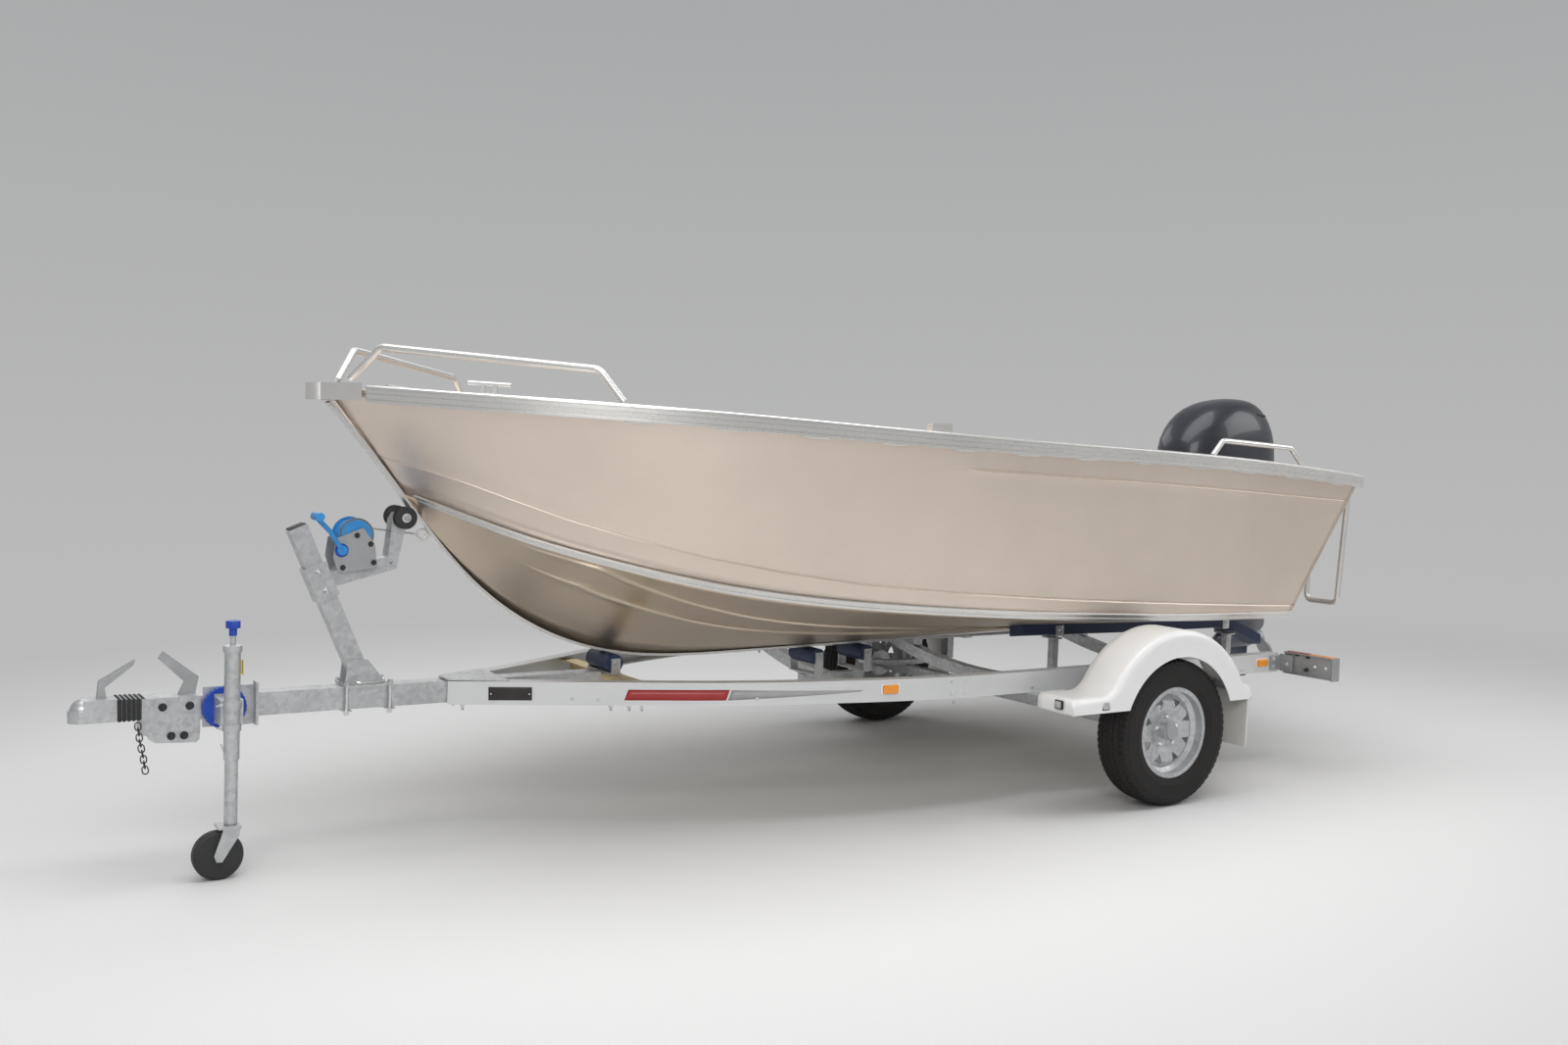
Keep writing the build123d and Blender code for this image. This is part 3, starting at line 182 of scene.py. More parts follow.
finishes = {
    "hullSheet": makeFinish("hullSheet", (0.83, 0.725, 0.63), (0.74, 0.645, 0.56), metallic=0.9, rough=(0.34, 0.5),
                            grain=(1, 1, 0.02), grainScale=420, grainBump=0.00003, patchScale=1.4, sag=0.004),
    "bottomSheet": makeFinish("bottomSheet", (0.73, 0.625, 0.50), (0.63, 0.54, 0.43), metallic=0.95, rough=(0.28, 0.42),
                              grain=(0.05, 1, 1), grainScale=300, grainBump=0.00003, patchScale=1.2, sag=0.004),
    "brightExtrusion": makeFinish("brightExtrusion", (0.80, 0.79, 0.77), (0.73, 0.72, 0.70), metallic=0.9,
                                  rough=(0.26, 0.38), grain=(0.03, 1, 1), grainScale=500, grainBump=0.00001,
                                  patchScale=4),
    "deckCovering": makeFinish("deckCovering", (0.36, 0.35, 0.33), (0.28, 0.275, 0.26), rough=(0.7, 0.9),
                               grainScale=900, grainBump=0.0008, patchScale=5),
    "galvanised": makeFinish("galvanised", (0.66, 0.67, 0.68), (0.46, 0.47, 0.48), metallic=0.75, rough=(0.34, 0.58),
                             grainScale=260, grainBump=0.00006, patchScale=6, cells=70),
    # side rails: galvanised like the rest of the frame, but made paler and less metallic than the galvanised finish as
    # painted light for the bright lamps on them
    "railGalvanisedPaintedLight": makeFinish("railGalvanisedPaintedLight", (0.75, 0.755, 0.76), (0.68, 0.685, 0.69), metallic=0.35, rough=(0.34, 0.5),
                           grain=(0.04, 1, 1), grainScale=300, grainBump=0.00003, patchScale=2.2),
    "goldPassivated": makeFinish("goldPassivated", (0.70, 0.55, 0.20), (0.60, 0.50, 0.33), metallic=0.85,
                                 rough=(0.28, 0.42), grainScale=200, patchScale=14),
    "navyPlastic": makeFinish("navyPlastic", (0.022, 0.040, 0.105), (0.016, 0.028, 0.07), rough=(0.42, 0.6),
                              grainScale=350, grainBump=0.0003, patchScale=6),
    "blackRubber": makeFinish("blackRubber", (0.032, 0.032, 0.033), (0.022, 0.022, 0.023), rough=(0.55, 0.75),
                              grainScale=500, grainBump=0.0003, patchScale=12),
    "tyreRubber": makeFinish("tyreRubber", (0.0125, 0.0105, 0.0095), (0.0085, 0.0072, 0.0066), rough=(0.66, 0.84),
                             grainScale=420, grainBump=0.0004, patchScale=9),
    "motorPaint": makeFinish("motorPaint", (0.050, 0.064, 0.10), (0.042, 0.052, 0.084), rough=(0.28, 0.4),
                             grainScale=600, grainBump=0.00003, patchScale=8, coat=0.5),
    "cowlGloss": makeFinish("cowlGloss", (0.020, 0.022, 0.031), (0.016, 0.018, 0.026), metallic=0.15,
                            rough=(0.34, 0.42),
                            grainScale=900, grainBump=0.00002, patchScale=3, coat=0.35),
    "propellerPaint": makeFinish("propellerPaint", (0.50, 0.51, 0.53), (0.43, 0.44, 0.46), metallic=0.4,
                                 rough=(0.3, 0.45), grainScale=400, patchScale=12),
    "whiteMoulding": makeFinish("whiteMoulding", (0.86, 0.86, 0.855), (0.82, 0.82, 0.815), rough=(0.28, 0.4),
                                grainScale=500, grainBump=0.00003, patchScale=4, coat=0.2),
    "flapRubber": makeFinish("flapRubber", (0.70, 0.69, 0.66), (0.62, 0.61, 0.58), rough=(0.5, 0.65), grainScale=300,
                             patchScale=8),
    "lampRed": makeFinish("lampRed", (0.42, 0.018, 0.016), (0.34, 0.012, 0.012), rough=(0.15, 0.25),
                          grain=(1, 1, 0.05), grainScale=700, grainBump=0.0006, patchScale=20, coat=0.6),
    "winchGrey": makeFinish("winchGrey", (0.46, 0.47, 0.48), (0.38, 0.39, 0.40), metallic=0.6, rough=(0.32, 0.48),
                            grainScale=300, patchScale=10),
    "skyBlue": makeFinish("skyBlue", (0.045, 0.30, 0.68), (0.03, 0.23, 0.58), rough=(0.32, 0.45), grainScale=400,
                          patchScale=16),
    "deepBlue": makeFinish("deepBlue", (0.012, 0.075, 0.48), (0.010, 0.055, 0.38), rough=(0.3, 0.45), grainScale=400,
                           patchScale=16),
    "wireRope": makeFinish("wireRope", (0.55, 0.55, 0.55), (0.40, 0.40, 0.40), metallic=0.8, rough=(0.3, 0.5),
                           grain=(1, 1, 1), grainScale=900, grainBump=0.0006, patchScale=30),
    "chrome": makeFinish("chrome", (0.80, 0.80, 0.80), (0.66, 0.66, 0.67), metallic=0.95, rough=(0.16, 0.32),
                         grainScale=500, grainBump=0.00002, patchScale=40),
    "lampAmber": makeFinish("lampAmber", (0.92, 0.33, 0.018), (0.84, 0.27, 0.014), rough=(0.15, 0.25),
                            grain=(1, 1, 0.05), grainScale=700, grainBump=0.0003, patchScale=20, coat=0.6),
    "clearLens": makeFinish("clearLens", (0.55, 0.56, 0.57), (0.42, 0.43, 0.44), metallic=0.3, rough=(0.1, 0.2),
                            grain=(1, 1, 0.05), grainScale=700, grainBump=0.0003, patchScale=30, coat=0.7),
    "lampBracket": makeFinish("lampBracket", (0.42, 0.425, 0.43), (0.33, 0.335, 0.34), metallic=0.5,
                              rough=(0.34, 0.5), grainScale=300, grainBump=0.00004, patchScale=9),
    "plateBlack": makeFinish("plateBlack", (0.040, 0.036, 0.034), (0.028, 0.025, 0.024), metallic=0.3,
                             rough=(0.3, 0.42), grainScale=400, grainBump=0.00003, patchScale=25),
    "stripeRed": makeFinish("stripeRed", (0.42, 0.035, 0.035), (0.36, 0.028, 0.028), rough=(0.28, 0.4),
                            grainScale=300, grainBump=0.00002, patchScale=9),
    "stripeGrey": makeFinish("stripeGrey", (0.42, 0.42, 0.43), (0.36, 0.36, 0.37), metallic=0.2,
                             rough=(0.28, 0.4), grainScale=300, grainBump=0.00002, patchScale=9),
    "tagYellow": makeFinish("tagYellow", (0.75, 0.58, 0.05), (0.64, 0.48, 0.04), rough=(0.4, 0.55),
                            grainScale=300, grainBump=0.00003, patchScale=30),
    "flangeBrown": makeFinish("flangeBrown", (0.23, 0.20, 0.17), (0.17, 0.148, 0.125), metallic=0.5,
                              rough=(0.34, 0.5), grainScale=300, grainBump=0.00004, patchScale=20),
    "castBlack": makeFinish("castBlack", (0.030, 0.030, 0.031), (0.020, 0.020, 0.021), rough=(0.5, 0.7),
                            grainScale=500, grainBump=0.0003, patchScale=12),
}

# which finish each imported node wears
nodeFinishes = {
    "hullSheet": ["hull_side_port", "hull_side_starboard", "transom", "gunwales", "rear_seat", "middle_seat",
                  "front_seat", "bow_deck"],
    "bottomSheet": ["hull_bottom"],
    "brightExtrusion": ["chines", "keel_bar", "bow_cap", "bow_rails", "stern_rails", "gunwale_fittings", "bow_eye",
                        "boarding_step"],
    "deckCovering": ["floor"],
    "galvanised": ["axle", "leaf_springs", "drawbar", "crossmembers", "skid_posts", "roller_posts", "guard_bars",
                   "winch_post", "winch_arm", "coupling", "jockey_clamp", "jockey_tube", "jockey_leg", "jockey_fork",
                   "rim_port", "rim_starboard"],
    # the side rails wear the paler galvanised copy, whose extra brightness is painted light
    "railGalvanisedPaintedLight": ["side_rail_port", "side_rail_starboard"],
    "goldPassivated": ["front_crossmember"],
    "navyPlastic": ["skids", "keel_rollers"],
    "blackRubber": ["bow_rollers"],
    "tyreRubber": ["tyre_port", "tyre_starboard"],
    "motorPaint": ["clamp_bracket", "swivel_bracket", "motor_leg", "motor_pan", "engine_block"],
    "cowlGloss": ["cowl"],
    "propellerPaint": ["propeller"],
    "whiteMoulding": ["mudguards"],
    "flapRubber": ["mud_flaps"],
    "lampRed": ["tail_lights"],
    "winchGrey": ["winch", "coupling_levers"],
    "skyBlue": ["winch_drum"],
    "deepBlue": ["jockey_disc", "jockey_knob"],
    "wireRope": ["winch_cable"],
    "castBlack": ["jockey_wheel"],
}
for finish, members in nodeFinishes.items():
    for member in members:
        for slot in nodes[member].material_slots:
            slot.material = finishes[finish]
print("finishes made:", len(finishes))


# studio: a round sheet of floor that curves up into a wall all the way round
studioSettings = {
    "centre": (0.35, 0.0),
    "radius": 12.5,
    "cove": 3.0,
    "height": 9.0,
    "floorColour": (0.74, 0.74, 0.735),
    "wallLow": (0.49, 0.49, 0.49),
    "wallHigh": (0.395, 0.40, 0.405),
    "world": (0.62, 0.63, 0.65),
    "worldLevel": 0.55,
}


def makeStudio(settings):
    centreX, centreY = settings["centre"]
    profile = [(r, 0.0) for r in (0.0, 1.5, 3.0, 5.0, 7.0, settings["radius"] - settings["cove"])]
    for step in range(1, 17):
        turn = math.radians(90 * step / 16)
        profile.append((settings["radius"] - settings["cove"] * (1 - math.sin(turn)),
                        settings["cove"] * (1 - math.cos(turn))))
    profile.append((settings["radius"], settings["height"]))
    mesh = bmesh.new()
    rings = []
    for radius, height in profile:
        if radius == 0:
            rings.append([mesh.verts.new((centreX, centreY, height))])
        else:
            rings.append([mesh.verts.new((centreX + radius * math.cos(math.tau * i / 96),
                                          centreY + radius * math.sin(math.tau * i / 96), height))
                          for i in range(96)])
    for low, high in zip(rings, rings[1:]):
        for i in range(96):
            j = (i + 1) % 96
            if len(low) == 1:
                mesh.faces.new((low[0], high[i], high[j]))
            else:
                mesh.faces.new((low[i], high[i], high[j], low[j]))
    data = bpy.data.meshes.new("studio")
    mesh.to_mesh(data)
    mesh.free()
    for face in data.polygons:
        face.use_smooth = True
    sheet = bpy.data.objects.new("studio", data)
    scene.collection.objects.link(sheet)

    material, tree, shader = newMaterial("studioPaper")
    shader.inputs["Base Color"].default_value = (*settings["floorColour"], 1)
    shader.inputs["Roughness"].default_value = 0.9
    shader.inputs["Specular IOR Level"].default_value = 0.1
    place = addNode(tree, "ShaderNodeTexCoord")
    parts = addNode(tree, "ShaderNodeSeparateXYZ")
    tree.links.new(place.outputs["Object"], parts.inputs["Vector"])
    # distance from the middle, drawn in along the boat's length
    mapping = addNode(tree, "ShaderNodeMapping")
    mapping.inputs["Location"].default_value = (-centreX / 1.45, -centreY, 0)
    mapping.inputs["Scale"].default_value = (1 / 1.45, 1, 1)
    length = addNode(tree, "ShaderNodeVectorMath", operation="LENGTH")
    tree.links.new(place.outputs["Object"], mapping.inputs["Vector"])
    tree.links.new(mapping.outputs["Vector"], length.inputs[0])
    away = addNode(tree, "ShaderNodeMapRange", interpolation_type="SMOOTHSTEP")
    away.inputs["From Min"].default_value = 1.6
    away.inputs["From Max"].default_value = 6.0
    tree.links.new(length.outputs["Value"], away.inputs["Value"])
    height = addNode(tree, "ShaderNodeMapRange")
    height.inputs["From Min"].default_value = 0.0
    height.inputs["From Max"].default_value = 6.5
    tree.links.new(parts.outputs["Z"], height.inputs["Value"])
    glow = addNode(tree, "ShaderNodeEmission")
    tree.links.new(mixColours(tree, height.outputs["Result"], settings["wallLow"], settings["wallHigh"]),
                   glow.inputs["Color"])
    path = addNode(tree, "ShaderNodeLightPath")
    anyRay = addNode(tree, "ShaderNodeMath", operation="ADD")
    tree.links.new(path.outputs["Is Camera Ray"], anyRay.inputs[0])
    tree.links.new(path.outputs["Is Glossy Ray"], anyRay.inputs[1])
    more = addNode(tree, "ShaderNodeMath", operation="ADD", use_clamp=True)
    tree.links.new(anyRay.outputs[0], more.inputs[0])
    tree.links.new(path.outputs["Is Transmission Ray"], more.inputs[1])
    share = addNode(tree, "ShaderNodeMath", operation="MULTIPLY")
    tree.links.new(more.outputs[0], share.inputs[0])
    tree.links.new(away.outputs["Result"], share.inputs[1])
    mix = addNode(tree, "ShaderNodeMixShader")
    tree.links.new(share.outputs[0], mix.inputs[0])
    tree.links.new(shader.outputs[0], mix.inputs[1])
    tree.links.new(glow.outputs[0], mix.inputs[2])
    tree.links.new(mix.outputs[0], tree.nodes["Material Output"].inputs["Surface"])
    data.materials.append(material)

    world = bpy.data.worlds.new("world")
    world.use_nodes = True
    world.node_tree.nodes["Background"].inputs[0].default_value = (*settings["world"], 1)
    world.node_tree.nodes["Background"].inputs[1].default_value = settings["worldLevel"]
    scene.world = world


makeStudio(studioSettings)

lamps = [
    # name, place, aim, width, depth, watts
    ("overheadSoftbox", (0.4, 0.6, 5.2), (0.3, 0.2, 0.8), 6.5, 4.0, 230),
    ("nearSoftbox", (4.2, 6.2, 4.2), (0.2, 0.0, 0.9), 4.5, 3.0, 190),
    ("sternSoftbox", (-5.5, 3.0, 3.6), (-0.5, 0.0, 0.9), 3.0, 2.5, 70),
    ("farSoftbox", (0.0, -6.0, 4.4), (0.2, 0.0, 0.8), 5.0, 2.5, 70),
]
for name, place, aim, width, depth, watts in lamps:
    data = bpy.data.lights.new(name, "AREA")
    data.shape = "RECTANGLE"
    data.size, data.size_y, data.energy = width, depth, watts
    lamp = bpy.data.objects.new(name, data)
    lamp.location = place
    lamp.rotation_mode = "QUATERNION"
    lamp.rotation_quaternion = (Vector(aim) - Vector(place)).to_track_quat("-Z", "Y")
    scene.collection.objects.link(lamp)
scene.view_settings.view_transform = "Standard"
print("studio lit")

# shapes: each is a list of points and a list of faces over them
def joined(*shapes):
    points, faces = [], []
    for shapePoints, shapeFaces in shapes:
        first = len(points)
        points += shapePoints
        faces += [tuple(first + i for i in face) for face in shapeFaces]
    return points, faces


def moved(shape, matrix):
    flip = matrix.to_3x3().determinant() < 0
    return [matrix @ Vector(p) for p in shape[0]], [tuple(reversed(f)) if flip else f for f in shape[1]]


def acrossBoat(shape):
    return moved(shape, Matrix.Scale(-1, 4, (0, 1, 0)))


def fromMesh(mesh):
    mesh.verts.index_update()
    shape = [v.co.copy() for v in mesh.verts], [tuple(v.index for v in f.verts) for f in mesh.faces]
    mesh.free()
    return shape


def roundedBlock(size, edge, segments=2):
    mesh = bmesh.new()
    bmesh.ops.create_cube(mesh, size=1)
    bmesh.ops.scale(mesh, vec=size, verts=mesh.verts)
    bmesh.ops.bevel(mesh, geom=mesh.edges[:], offset=edge, segments=segments, affect="EDGES", profile=0.5)
    return fromMesh(mesh)


def plate(outline, thickness, edge=0.0008):
    # a flat outline (x, y) made thick along z, with its rims eased
    mesh = bmesh.new()
    face = mesh.faces.new([mesh.verts.new((x, y, -thickness / 2)) for x, y in outline])
    made = bmesh.ops.extrude_face_region(mesh, geom=[face])
    raised = [g for g in made["geom"] if isinstance(g, bmesh.types.BMVert)]
    bmesh.ops.translate(mesh, vec=(0, 0, thickness), verts=raised)
    bmesh.ops.recalc_face_normals(mesh, faces=mesh.faces)
    if edge:
        rims = [e for e in mesh.edges if abs(e.verts[0].co.z - e.verts[1].co.z) < 1e-9]
        bmesh.ops.bevel(mesh, geom=rims, offset=edge, segments=2, affect="EDGES", profile=0.5)
    return fromMesh(mesh)


def rings(sections, closed=False, capped=True):
    # a skin over rings of points that all have the same count
    count = len(sections[0])
    points = [Vector(p) for section in sections for p in section]
    faces = []
    last = len(sections) if closed else len(sections) - 1
    for s in range(last):
        a, b = s * count, (s + 1) % len(sections) * count
        faces += [(a + i, a + (i + 1) % count, b + (i + 1) % count, b + i) for i in range(count)]
    if capped and not closed:
        faces += [tuple(reversed(range(count))), tuple(range((len(sections) - 1) * count, len(sections) * count))]
    return points, faces


def turned(profile, steps=40, hollow=False):
    # (radius, height) points spun round z; a radius of nearly nothing closes the end,
    # and hollow joins the last point to the first
    sections = [[(max(r, 1e-5) * math.cos(math.tau * i / steps), max(r, 1e-5) * math.sin(math.tau * i / steps), h)
                 for i in range(steps)] for r, h in profile]
    return rings(sections, closed=hollow, capped=not hollow)


def facing(at, along, side=(0, 0, 1)):
    # a frame whose z runs along a direction, with x turned as near as it can be to side
    z = Vector(along).normalized()
    x = Vector(side) - z * z.dot(Vector(side))
    if x.length < 1e-6:
        x = Vector((1, 0, 0)) - z * z.x
    x.normalize()
    y = z.cross(x)
    return Matrix(((x.x, y.x, z.x, at[0]), (x.y, y.y, z.y, at[1]), (x.z, y.z, z.z, at[2]), (0, 0, 0, 1)))


def curveThrough(points, steps=6, closed=False):
    points = [Vector(p) for p in points]
    made = []
    count = len(points)
    spans = count if closed else count - 1
    for i in range(spans):
        if closed:
            a, b, c, d = (points[(i + k) % count] for k in (-1, 0, 1, 2))
        else:
            b, c = points[i], points[i + 1]
            a = points[i - 1] if i else b * 2 - c
            d = points[i + 2] if i + 2 < count else c * 2 - b
        for s in range(steps):
            t = s / steps
            made.append(0.5 * (2 * b + (c - a) * t + (2 * a - 5 * b + 4 * c - d) * t * t
                               + (3 * b - a - 3 * c + d) * t ** 3))
    if not closed:
        made.append(points[-1])
    return made


def tube(path, radius, sides=12, closed=False, squash=1.0):
    path = [Vector(p) for p in path]
    count = len(path)
    sections, side = [], None
    for i, point in enumerate(path):
        before = path[i - 1] if (i or closed) else point
        after = path[(i + 1) % count] if (i + 1 < count or closed) else point
        ahead = (after - before).normalized()
        if side is None:
            side = ahead.orthogonal() if abs(ahead.z) > 0.9 else ahead.cross(Vector((0, 0, 1)))
            side.normalize()
        side = (side - ahead * ahead.dot(side)).normalized()
        other = ahead.cross(side)
        size = radius(i / max(1, count - 1)) if callable(radius) else radius
        sections.append([point + side * (size * math.cos(math.tau * k / sides))
                         + other * (size * squash * math.sin(math.tau * k / sides)) for k in range(sides)])
    return rings(sections, closed)


def bolt(across=0.017, height=0.007, washer=0.026, thread=0.0):
    # hexagon head on a washer, with its thread end showing if it has one
    flat = turned([(0, 0), (washer / 2, 0), (washer / 2, 0.0014), (washer / 2 - 0.0008, 0.002), (0, 0.002)], 24)
    reach = across / math.sqrt(3)
    sections = []
    for radius, h in ((reach, 0.002), (reach, 0.002 + height * 0.8), (reach * 0.86, 0.002 + height),
                      (0.0002, 0.002 + height)):
        sections.append([(radius * math.cos(math.tau * i / 6), radius * math.sin(math.tau * i / 6), h)
                         for i in range(6)])
    parts = [flat, rings(sections)]
    if thread:
        top = 0.002 + height
        rod = [(across * 0.27, top - 0.001)]
        turns = max(2, int(thread / 0.0018))
        for k in range(turns):
            h = top + thread * k / turns
            rod += [(across * 0.30, h), (across * 0.26, h + thread / turns * 0.5)]
        parts.append(turned(rod + [(across * 0.24, top + thread), (0, top + thread)], 14))
    return joined(*parts)


def boltsAt(spots, **size):
    # spots are pairs of place and outward direction
    head = bolt(**size)
    return joined(*[moved(head, facing(at, along)) for at, along in spots])


def makePiece(name, shape, finish, body="boat_and_trailer", stands=(), angle=32, solid=0.0, even=True):
    data = bpy.data.meshes.new(name)
    data.from_pydata([tuple(p) for p in shape[0]], [], shape[1])
    data.validate()
    mesh = bmesh.new()
    mesh.from_mesh(data)
    bmesh.ops.remove_doubles(mesh, verts=mesh.verts, dist=1e-6)
    if not solid:
        bmesh.ops.recalc_face_normals(mesh, faces=mesh.faces)
    mesh.to_mesh(data)
    mesh.free()
    for face in data.polygons:
        face.use_smooth = True
    data.set_sharp_from_angle(angle=math.radians(angle))
    data.materials.append(finishes[finish])
    piece = bpy.data.objects.new(name, data)
    scene.collection.objects.link(piece)
    if solid:
        skin = piece.modifiers.new("sheet", "SOLIDIFY")
        skin.thickness, skin.offset, skin.use_even_offset = solid, -1, even
    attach(piece, body)
    if stands:
        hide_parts(*stands)
    return piece


# hull lines, forward from the axle, out from the middle and up from the ground
hullLines = {
    "chine": [(-1.024, 0.712, 0.657), (-0.255, 0.745, 0.686), (0.597, 0.742, 0.742), (1.214, 0.706, 0.798),
              (1.730, 0.612, 0.868), (2.112, 0.480, 0.955), (2.453, 0.285, 1.066), (2.640, 0.120, 1.150),
              (2.716, 0.014, 1.186)],
    "gunwale": [(-1.268, 0.865, 1.266), (-0.600, 0.890, 1.327), (0, 0.902, 1.364), (0.600, 0.904, 1.393),
                (1.125, 0.898, 1.420), (1.700, 0.852, 1.456), (2.080, 0.770, 1.480), (2.400, 0.618, 1.500),
                (2.650, 0.420, 1.516), (2.850, 0.205, 1.532), (2.982, 0.010, 1.542)],
    "keel": {"from": -0.990, "to": 2.720, "height": 0.572, "riseFrom": 1.350, "rise": 0.2149, "power": 3.36},
    "sheet": 0.003,
    "bottomSheet": 0.004,
    "seam": 0.005,
    "stations": 150,
}


def fairLine(points):
    # the curve a batten takes through the points, as a place and a slope for any share of its length
    points = [fromAxle(*p) for p in points]
    marks = [0.0]
    for a, b in zip(points, points[1:]):
        marks.append(marks[-1] + (b - a).length)
    marks = [m / marks[-1] for m in marks]

    def endSlope(places, at):
        total = Vector((0, 0, 0))
        for i, (u, p) in enumerate(places):
            others = [v for j, (v, _) in enumerate(places) if j != i]
            below = math.prod(u - v for v in others)
            above = sum(math.prod(at - w for k, w in enumerate(others) if k != j) for j in range(len(others)))
            total += p * (above / below)
        return total

    places = list(zip(marks, points))
    count = len(points)
    gaps = [b - a for a, b in zip(marks, marks[1:])]
    rises = [(b - a) / g for a, b, g in zip(points, points[1:], gaps)]
    slopes = [None] * count
    slopes[0], slopes[-1] = endSlope(places[:4], 0.0), endSlope(places[-4:], 1.0)
    for _ in range(60):  # settle the inner slopes
        for i in range(1, count - 1):
            before = slopes[i - 1] or rises[i - 1]
            after = slopes[i + 1] or rises[i]
            slopes[i] = (3 * (gaps[i] * rises[i - 1] + gaps[i - 1] * rises[i]) - gaps[i] * before
                         - gaps[i - 1] * after) / (2 * (gaps[i - 1] + gaps[i]))

    def at(share):
        i = max(k for k in range(count - 1) if marks[k] <= max(0.0, min(share, 0.99999)))
        s = (share - marks[i]) / gaps[i]
        a, b, m, n = points[i], points[i + 1], slopes[i] * gaps[i], slopes[i + 1] * gaps[i]
        place = (a * (2 * s ** 3 - 3 * s ** 2 + 1) + m * (s ** 3 - 2 * s ** 2 + s) + b * (3 * s ** 2 - 2 * s ** 3)
                 + n * (s ** 3 - s ** 2))
        slope = (a * (6 * s ** 2 - 6 * s) + m * (3 * s ** 2 - 4 * s + 1) + b * (6 * s - 6 * s ** 2)
                 + n * (3 * s ** 2 - 2 * s)) / gaps[i]
        return place, slope.normalized()

    return at


chineLine = fairLine(hullLines["chine"])
gunwaleLine = fairLine(hullLines["gunwale"])


def keelAt(share):
    keel = hullLines["keel"]
    x = keel["from"] + share * (keel["to"] - keel["from"])
    return fromAxle(x, 0.003, keel["height"] + keel["rise"] * max(0.0, x - keel["riseFrom"]) ** keel["power"])


def sideFrame(share):
    low, along = chineLine(share)
    high = gunwaleLine(share)[0]
    up = (high - low).normalized()
    out = along.cross(up).normalized()
    return low, high, up, out if out.y > 0 else -out


def heightAlong(route, x):
    for (x0, z0), (x1, z1) in zip(route, route[1:]):
        if x <= x1 or (x1, z1) == route[-1]:
            return z0 + (z1 - z0) * (x - x0) / (x1 - x0)


def eased(value, low, high):
    s = max(0.0, min(1.0, (value - low) / (high - low)))
    return s * s * (3 - 2 * s)


hullSideSettings = {
    # pressed grooves, as distance forward and height
    "lowGroove": [(-1.30, 0.690), (-0.83, 0.717), (-0.25, 0.756), (0.30, 0.795), (0.60, 0.820), (0.97, 0.854),
                  (1.30, 0.894), (1.60, 0.943), (1.88, 1.000), (2.13, 1.066), (2.31, 1.123), (2.48, 1.191),
                  (2.61, 1.246), (2.71, 1.282), (2.80, 1.316)],
    "highGroove": [(-1.30, 1.165), (-0.61, 1.212), (-0.22, 1.238), (0.12, 1.259), (0.43, 1.275), (0.98, 1.307),
                   (3.0, 1.42)],
    "highGrooveEnds": 0.98,
    "depth": 0.0030,
    "halfWidth": 0.0050,
}


def hullSide():
    side = hullSideSettings
    count = hullLines["stations"]
    rows = []
    for i in range(count + 1):
        share = i / count
        low, high, up, out = sideFrame(share)
        length = (high - low).length
        marks = []
        for route in ("lowGroove", "highGroove"):
            reach = length * (0.15 if route == "lowGroove" else 0.8)
            for _ in range(4):
                here = low + up * reach
                reach += (heightAlong(side[route], here.x - axleX) - here.z) / max(up.z, 0.3)
            marks.append(max(0.012, min(reach, length - 0.012)))
        lowMark, highMark = marks[0], max(marks[1], marks[0] + 0.05)
        fade = 1 - eased(low.x - axleX, side["highGrooveEnds"] - 0.1, side["highGrooveEnds"])
        stern = 1.0
        width, depth = side["halfWidth"], side["depth"]
        row = []
        for reach in (hullLines["seam"], lowMark * 0.5, lowMark - width * 1.5):
            row.append((reach, 0.0))
        row += [(lowMark - width, 0.0004 * stern), (lowMark - width * 0.4, -depth), (lowMark + width * 0.4, -depth),
                (lowMark + width, 0.0004), (lowMark + width * 1.5, 0.0)]
        for k in range(1, 14):
            row.append((lowMark + width * 2 + (highMark - width * 4 - lowMark) * k / 14, 0.0))
        row += [(highMark - width * 1.4, 0.0), (highMark - width, 0.0004 * fade),
                (highMark - width * 0.4, -depth * fade), (highMark + width * 0.4, -depth * fade),
                (highMark + width, 0.0004 * fade), (highMark + width * 1.4, 0.0)]
        for k in range(1, 4):
            row.append((highMark + width * 1.6 + (length - highMark - width * 1.6) * k / 3, 0.0))
        rows.append([low + up * min(reach, length) + out * proud for reach, proud in row])
    across = len(rows[0])
    points = [p for row in rows for p in row]
    faces = [(i * across + j, (i + 1) * across + j, (i + 1) * across + j + 1, i * across + j + 1)
             for i in range(count) for j in range(across - 1)]
    return points, faces


portSide = hullSide()
makePiece("hullSidePort", (portSide[0], [tuple(reversed(f)) for f in portSide[1]]), "hullSheet",
          stands=["hull_side_port"], solid=hullLines["sheet"], angle=28)
makePiece("hullSideStarboard", acrossBoat((portSide[0], [tuple(reversed(f)) for f in portSide[1]])), "hullSheet",
          stands=["hull_side_starboard"], solid=hullLines["sheet"], angle=28)

bottomSettings = {
    # pressed strakes, as distance forward and distance out from the middle
    "strakes": [
        [(-1.1, 0.240), (0.0, 0.250), (1.0, 0.262), (1.40, 0.285), (1.70, 0.310), (1.87, 0.318), (2.02, 0.310),
         (2.17, 0.290), (2.35, 0.225), (2.75, 0.05)],
        [(-1.1, 0.368), (0.0, 0.372), (0.50, 0.378), (1.00, 0.396), (1.44, 0.426), (1.70, 0.444), (1.93, 0.440),
         (2.08, 0.428), (2.20, 0.408), (2.30, 0.372), (2.42, 0.300), (2.75, 0.09)],
    ],
    "rise": 0.008,
    "run": 0.030,
    "ends": (2.10, 2.38),
}


